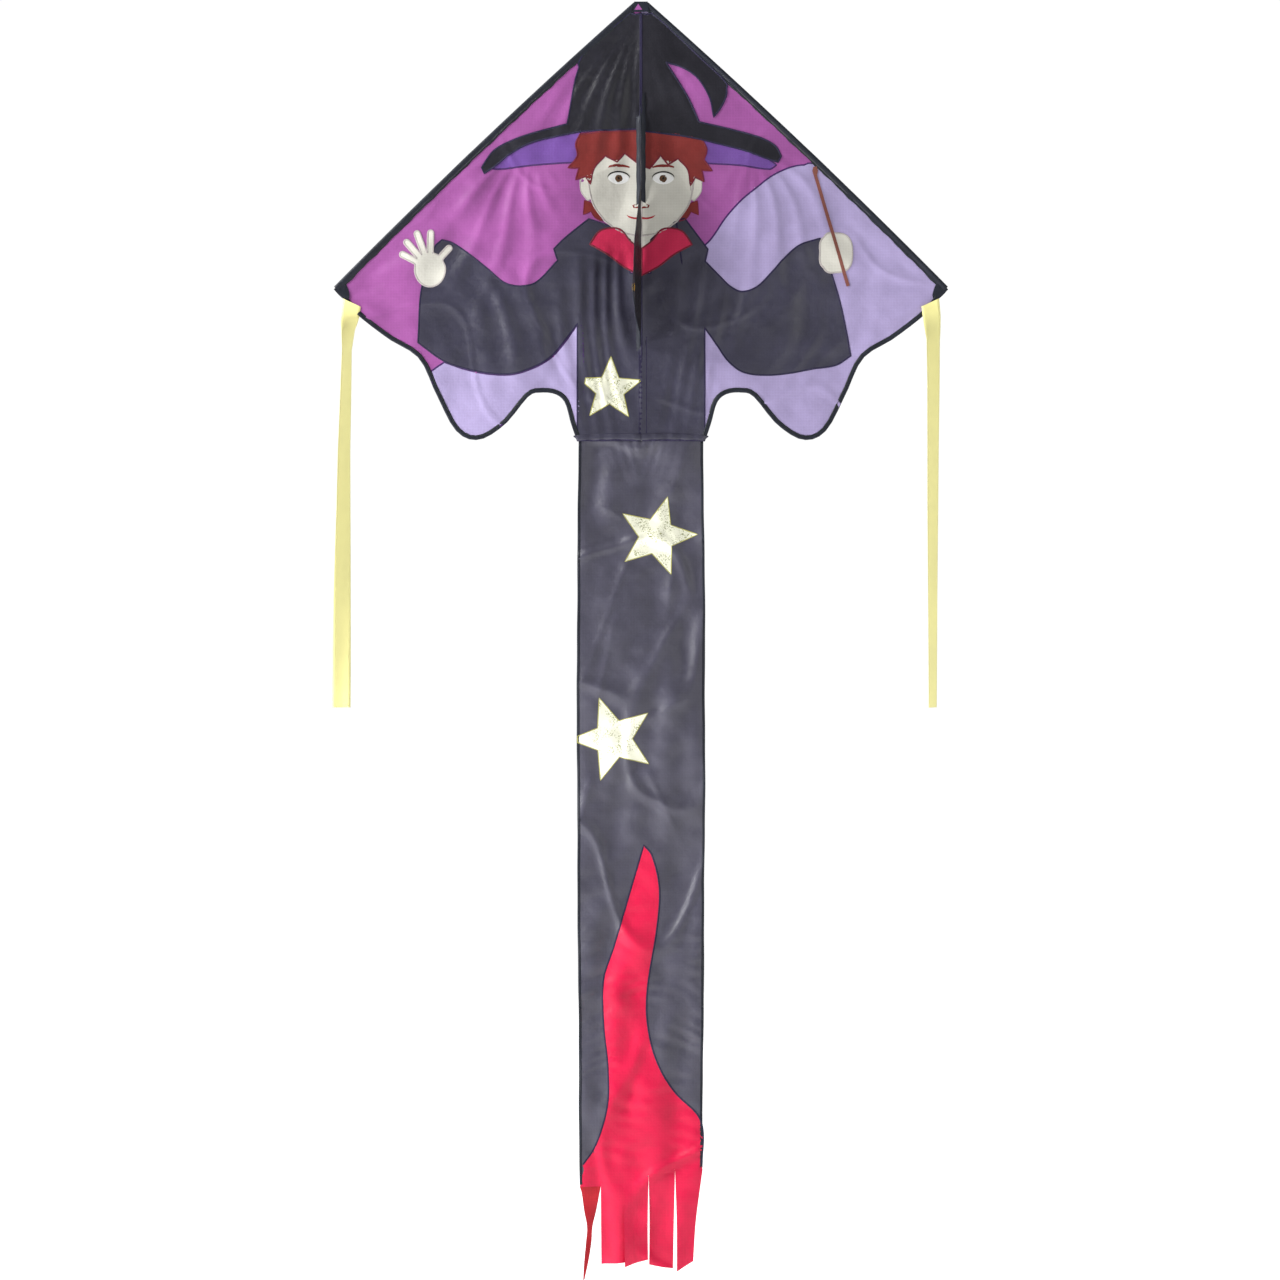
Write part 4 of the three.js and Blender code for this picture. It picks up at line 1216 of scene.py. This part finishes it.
def make_keel():
    loop = softened(KEEL, 35)
    eye_ring = [(TOW_EYE[0] + 5.2 * MM * math.cos(a), TOW_EYE[1] + 5.2 * MM * math.sin(a))
                for a in np.linspace(0, 2 * math.pi, 24, endpoint=False)]
    build = Build()
    build.sheet(loop, 1, 0, surface=keel_rumple, holes=[eye_ring])
    build.stitches(loop, 2, 1, 2.4 * MM, surface=keel_rumple)
    stand_off(build)
    thing = build.piece("keel_cloth", [M["keel"], M["black"]])
    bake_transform(thing)
    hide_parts("keel_fin")
    build = Build()
    loop = softened(KEEL_PATCH, 35)
    build.sheet(loop, 3, 0, surface=keel_rumple, holes=[eye_ring])
    build.stitches(loop, 3, 1, 1.4 * MM, surface=keel_rumple)
    stand_off(build)
    thing = build.piece("keel_tape", [M["patch"], M["thread_black"]])
    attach(thing, "keel")
    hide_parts("keel_patch")


make_keel()


# ---------------------------------------------------------------- tail

TAIL_CUTS = [HEM_Z, -0.991, -1.356, -1.850]
TAIL_WIDTHS = ([-2.2, -1.538, -1.174, -0.8085], [0.1125, 0.1175, 0.1180, 0.1148])
FRINGE_X = [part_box(f"fringe_{i}") for i in range(1, 6)]
FRINGE_TOPS = [JOINTS[f"fringe_{i}_flap"]["pos_m"][2] for i in range(1, 6)]
FRINGE_CUTS = [(FRINGE_X[i][1][0] + FRINGE_X[i + 1][0][0]) / 2 for i in range(4)]


def half_width(z, sign):
    wave = 0.5 * MM * math.sin(z * 17 + sign) + 0.2 * MM * math.sin(z * 57 + 2 * sign)
    return sign * (float(np.interp(z, *TAIL_WIDTHS)) + wave)


def side_line(top, bottom, sign, step=6 * MM):
    count = max(2, round(abs(top - bottom) / step))
    return [(half_width(z, sign), z) for z in np.linspace(top, bottom, count + 1)]


def level_line(a, b, z, step=6 * MM):
    count = max(1, round(abs(b - a) / step))
    return [(a + (b - a) * i / count, z) for i in range(1, count)]


def tail_piece(name, top, bottom, bodies, middle, node):
    right, left = side_line(top, bottom, 1), side_line(top, bottom, -1)
    loop = right + level_line(right[-1][0], left[-1][0], bottom) + left[::-1] + level_line(left[0][0],
        right[0][0], top)
    build = Build()
    build.sheet(loop, 0)
    for line, sign in ((right, 1), (left, -1)):
        build.stitches([(x - sign * 2.4 * MM, z) for x, z in line], 1.5, 1, 5 * MM, closed=False)
    thing = build.piece(name, [M["tail"], M["black"]])
    if middle is None:
        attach(thing, bodies[0])
    else:
        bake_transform(thing)
    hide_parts(node)


TAIL_BEND = 9 * MM
tail_piece("tail_top", HEM_Z + 0.5 * MM, TAIL_CUTS[1], ("centre", "tail_upper"), HEM_Z - TAIL_BEND,
           "tail_upper")
tail_piece("tail_second", TAIL_CUTS[1], TAIL_CUTS[2], ("tail_upper", "tail_middle"), TAIL_FLAPS[1],
           "tail_middle")
tail_piece("tail_third", TAIL_CUTS[2], TAIL_CUTS[3], ("tail_middle", "tail_lower"), TAIL_FLAPS[2],
           "tail_lower")


UNDERLAP = 4 * MM            # the dark cloth stops this far above the cuts, under the red


def fringe_line(left, right, rise):
    """The stepped line along the tops of the strips, from left to right."""
    cuts = [left] + FRINGE_CUTS + [right]
    line = []
    for i in range(5):
        z = FRINGE_TOPS[i] + rise
        line += [(cuts[i], z)] + level_line(cuts[i], cuts[i + 1], z) + [(cuts[i + 1], z)]
    return line


def make_tail_end():
    """The end of the tail, down to the tops of the cuts between the strips."""
    top = TAIL_CUTS[3]
    right = side_line(top, FRINGE_TOPS[4] + UNDERLAP, 1)
    left = side_line(top, FRINGE_TOPS[0] + UNDERLAP, -1)
    steps = fringe_line(left[-1][0], right[-1][0], UNDERLAP)[::-1]
    loop = right[:-1] + steps + left[-2::-1] + level_line(left[0][0], right[0][0], top)
    build = Build()
    build.sheet(loop, 0)
    for line, sign in ((right, 1), (left, -1)):
        build.stitches([(x - sign * 2.4 * MM, z) for x, z in line], 1.5, 1, 5 * MM, closed=False)
    thing = build.piece("tail_end", [M["tail"], M["black"]])
    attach(thing, "tail_lower")


make_tail_end()


def make_flame():
    loop = softened(front_loop("flame"), 50)
    foot = min(z for _, z in loop) + 3 * MM
    first = next(i for i, p in enumerate(loop) if p[1] > foot and loop[i - 1][1] <= foot)
    sides = [p for p in loop[first:] + loop[:first] if p[1] > foot]
    hem = fringe_line(half_width(FRINGE_TOPS[0], -1), half_width(FRINGE_TOPS[4], 1), 0)
    if sides[0][0] < 0:
        hem = hem[::-1]
    loop = sides + hem
    build = Build()
    build.sheet(loop, 2)
    build.stitches(sides, 2, 1, closed=False)
    thing = build.piece("flame_cloth", [M["flame"], M["thread_navy"]])
    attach(thing, "tail_lower")
    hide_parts("flame")


# Strips of the fringe: left and right edges in millimetres from the top down, and how far each one twists
STRIPS = [
    ([(-112, 0), (-109, -2190), (-104.5, -2222), (-99, -2252), (-101, -2280), (-104, -2312), (-106, -2347)],
     [(-74, 0), (-76, -2190), (-82, -2222), (-89, -2252), (-91, -2280), (-96, -2312), (-103.5, -2346)],
     "flame_dark"),
    ([(-74, 0), (-73.5, -2240), (-73, -2323)], [(-30.5, 0), (-28.5, -2240), (-29.5, -2318)], "flame"),
    ([(-30.5, 0), (-31, -2240), (-29.5, -2325)], [(14, 0), (12.5, -2240), (13, -2312)], "flame"),
    ([(14, 0), (15.5, -2240), (15, -2323)], [(62.5, 0), (60.5, -2240), (59, -2330)], "flame"),
    ([(62.5, 0), (65.5, -2240), (66, -2334)], [(112, 0), (101, -2240), (96, -2315)], "flame"),
]
FRINGE_SWAY = [-2.0, 2.4, -1.6, 2.0, -2.6]   # how far each strip hangs out of line, in millimetres


def make_strip(i):
    left, right, cloth = STRIPS[i]
    top = FRINGE_TOPS[i]

    def lined(edge):
        first = (edge[0][0] * MM, top)
        if i == 0 and edge is left:
            first = (half_width(top, -1), top)
        if i == 4 and edge is right:
            first = (half_width(top, 1), top)
        return [first] + [(x * MM, z * MM) for x, z in edge[1:]]

    loop = softened(lined(left) + lined(right)[::-1], 50)

    def surface(x, z):
        fall = smoothstep(top, -2.33, z)
        middle = (FRINGE_X[i][0][0] + FRINGE_X[i][1][0]) / 2
        turn = (x - middle) * (0.9 if i == 0 else 0.10 * (-1) ** i)
        return rumple(x, z) + fall * (FRINGE_SWAY[i] * 3 * MM + turn + 2 * MM * np.sin(z * 46 + i))

    build = Build()
    build.sheet(loop, 1.6, 0, surface=surface)
    thing = build.piece(f"strip_{i + 1}", [M[cloth]])
    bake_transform(thing)
    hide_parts(f"fringe_{i + 1}")


M["flame"] = nylon("flame_nylon", dimmed((255, 20, 80)), 0.42, 0.08, 0.3)
M["flame_dark"] = nylon("flame_dark_nylon", dimmed((216, 30, 46)), 0.45, 0.12, 0.3)
make_flame()
for each in range(5):
    make_strip(each)


def make_stars():
    for name, node, body in (("star_1", "star_body", None), ("star_2", "star_upper", "tail_upper"),
                             ("star_3", "star_middle", "tail_middle")):
        loop = softened(front_loop(node), 30)
        build = Build()
        build.sheet(loop, 5 if body is None else 2, 0, 4 * MM)
        build.stitches(loop, 5 if body is None else 2, 1, 1.6 * MM)
        thing = build.piece(name, [M["gold"], M["thread_star"]])
        if body:
            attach(thing, body)
        else:
            on_half(thing)
        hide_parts(node)


M["thread_star"] = thread("star_thread", dimmed((226, 222, 120)))
make_stars()


# ---------------------------------------------------------------- ribbons

TAPE = 34 * MM
TOP_SLANT = 15 * MM          # the tape is sewn on along the trailing edge, so its top is cut at a slant
# Down each ribbon in millimetres: z, centre x, half twist in degrees
RIBBONS = {
    "left": [(-546, -531, 0), (-577, -534, 12), (-603, -538, 48), (-640, -540.5, 63), (-824, -545.5, 53),
             (-930, -546.5, 46), (-1100, -549, 28), (-1298, -551, 8)],
    "right": [(-546, 531, 0), (-577, 534, 10), (-622, 537, 40), (-700, 537.5, 44), (-824, 537, 48),
              (-930, 536.5, 50), (-1100, 536, 56), (-1298, 536, 60)],
}


def ribbon_place(side, z, share):
    z -= TOP_SLANT * (0.5 - SIDES[side] * share) * float(smoothstep(-0.60, -0.546, z))
    rows = np.array(RIBBONS[side])[::-1]
    x = np.interp(z / MM, rows[:, 0], rows[:, 1]) * MM
    turn = math.radians(np.interp(z / MM, rows[:, 0], rows[:, 2]))
    sewn = 1 - float(smoothstep(-0.575, -0.64, z))
    front = (float(rumple(x, z)) - 4.2 * MM) * sewn - 8 * MM * (1 - sewn)
    sway = 3 * MM * math.sin(z * 9 + (1 if side == "left" else 3)) * float(smoothstep(-0.6, -0.75, z))
    curl = 1.4 * MM * math.cos(share * math.pi) * float(smoothstep(-0.6, -0.7, z))
    wide = share * TAPE
    return (x + wide * math.cos(turn), front + sway + curl + wide * math.sin(turn) * 1.0, z)


def make_ribbon(side, name, top, bottom, node):
    rows = max(2, round((top - bottom) / (5 * MM)))
    shares = np.linspace(-0.5, 0.5, 8)
    rings, uvs = [], []
    for i in range(rows + 1):
        z = top + (bottom - top) * i / rows
        row = [Vector(ribbon_place(side, z, share)) for share in shares]
        slope = (row[-1] - row[0]).normalized()
        out = slope.cross(Vector((0, 0, 1))).normalized() * 0.15 * MM
        rings.append([tuple(p + out) for p in row] + [tuple(p - out) for p in reversed(row)])
        uvs += [(share * TAPE, z) for share in shares] + [(share * TAPE, z) for share in reversed(shares)]
    build = Build()
    build.tube(rings, 0, uvs)
    thing = build.piece(name, [M["ribbon"]])
    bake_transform(thing)
    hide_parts(node)


for each in SIDES:
    wing, upper, lower = f"{each}_wing", f"ribbon_upper_{each}", f"ribbon_lower_{each}"
    make_ribbon(each, f"tape_top_{each}", -0.546, -0.750,
                upper)
    make_ribbon(each, f"tape_end_{each}", -0.750, -1.298,
                lower)


# Stage: floor, light and sky

DIM_SKY = 0.34            # the sky in front of the kite; behind it the sky is a white backdrop


FLOOR_DROP = 0.02      # metres below the fringe
FLOOR_RADIUS = 5.5
FLOOR_SIDES = 96
FLOOR_GLOW = 0.45
LAMP_AIM = (0, 0, -0.9)
LAMPS = (   # name, place, width and power
    ("key", (-3.4, -1.5, 1.5), 1.5, 200),
    ("side", (-3.2, -0.9, -1.6), 1.0, 85),
    ("fill", (3.5, -3.0, 0.2), 3.0, 40),
)


def make_stage():
    floor_z = cad_low[2] - FLOOR_DROP
    floor_mesh = bpy.data.meshes.new("floor")
    turns = [2 * math.pi * i / FLOOR_SIDES for i in range(FLOOR_SIDES)]
    ring = [(FLOOR_RADIUS * math.cos(a), FLOOR_RADIUS * math.sin(a), floor_z) for a in turns]
    floor_mesh.from_pydata(ring, [], [tuple(range(FLOOR_SIDES))])
    floor = bpy.data.objects.new("floor", floor_mesh)
    bpy.context.scene.collection.objects.link(floor)
    paint = plain("floor_paint", (246, 246, 246), 0.8, scale=3.0, contrast=0.004)
    shader = paint.node_tree.nodes["Principled BSDF"]
    shader.inputs["Emission Color"].default_value = (1, 1, 1, 1)
    shader.inputs["Emission Strength"].default_value = FLOOR_GLOW
    floor.data.materials.append(paint)
    world = bpy.data.worlds.new("studio")
    world.use_nodes = True
    tree = world.node_tree
    place = tree.nodes.new("ShaderNodeTexCoord")
    split = tree.nodes.new("ShaderNodeSeparateXYZ")
    spread = tree.nodes.new("ShaderNodeMapRange")
    spread.interpolation_type = "SMOOTHSTEP"
    tree.links.new(place.outputs["Generated"], split.inputs[0])
    tree.links.new(split.outputs["Y"], spread.inputs["Value"])
    for key, value in (("From Min", -0.3), ("From Max", 0.5), ("To Min", DIM_SKY), ("To Max", 1.02)):
        spread.inputs[key].default_value = value
    tree.nodes["Background"].inputs["Color"].default_value = (1, 1, 1, 1)
    tree.links.new(spread.outputs["Result"], tree.nodes["Background"].inputs["Strength"])
    bpy.context.scene.world = world
    for name, spot, size, power in LAMPS:
        data = bpy.data.lights.new(name, "AREA")
        data.shape = "DISK"
        data.size = size
        data.energy = power
        lamp = bpy.data.objects.new(name, data)
        bpy.context.scene.collection.objects.link(lamp)
        lamp.location = spot
        aim = Vector(LAMP_AIM) - Vector(spot)
        lamp.rotation_euler = aim.to_track_quat("-Z", "Y").to_euler()
    bpy.context.scene.view_settings.view_transform = "Standard"


make_stage()
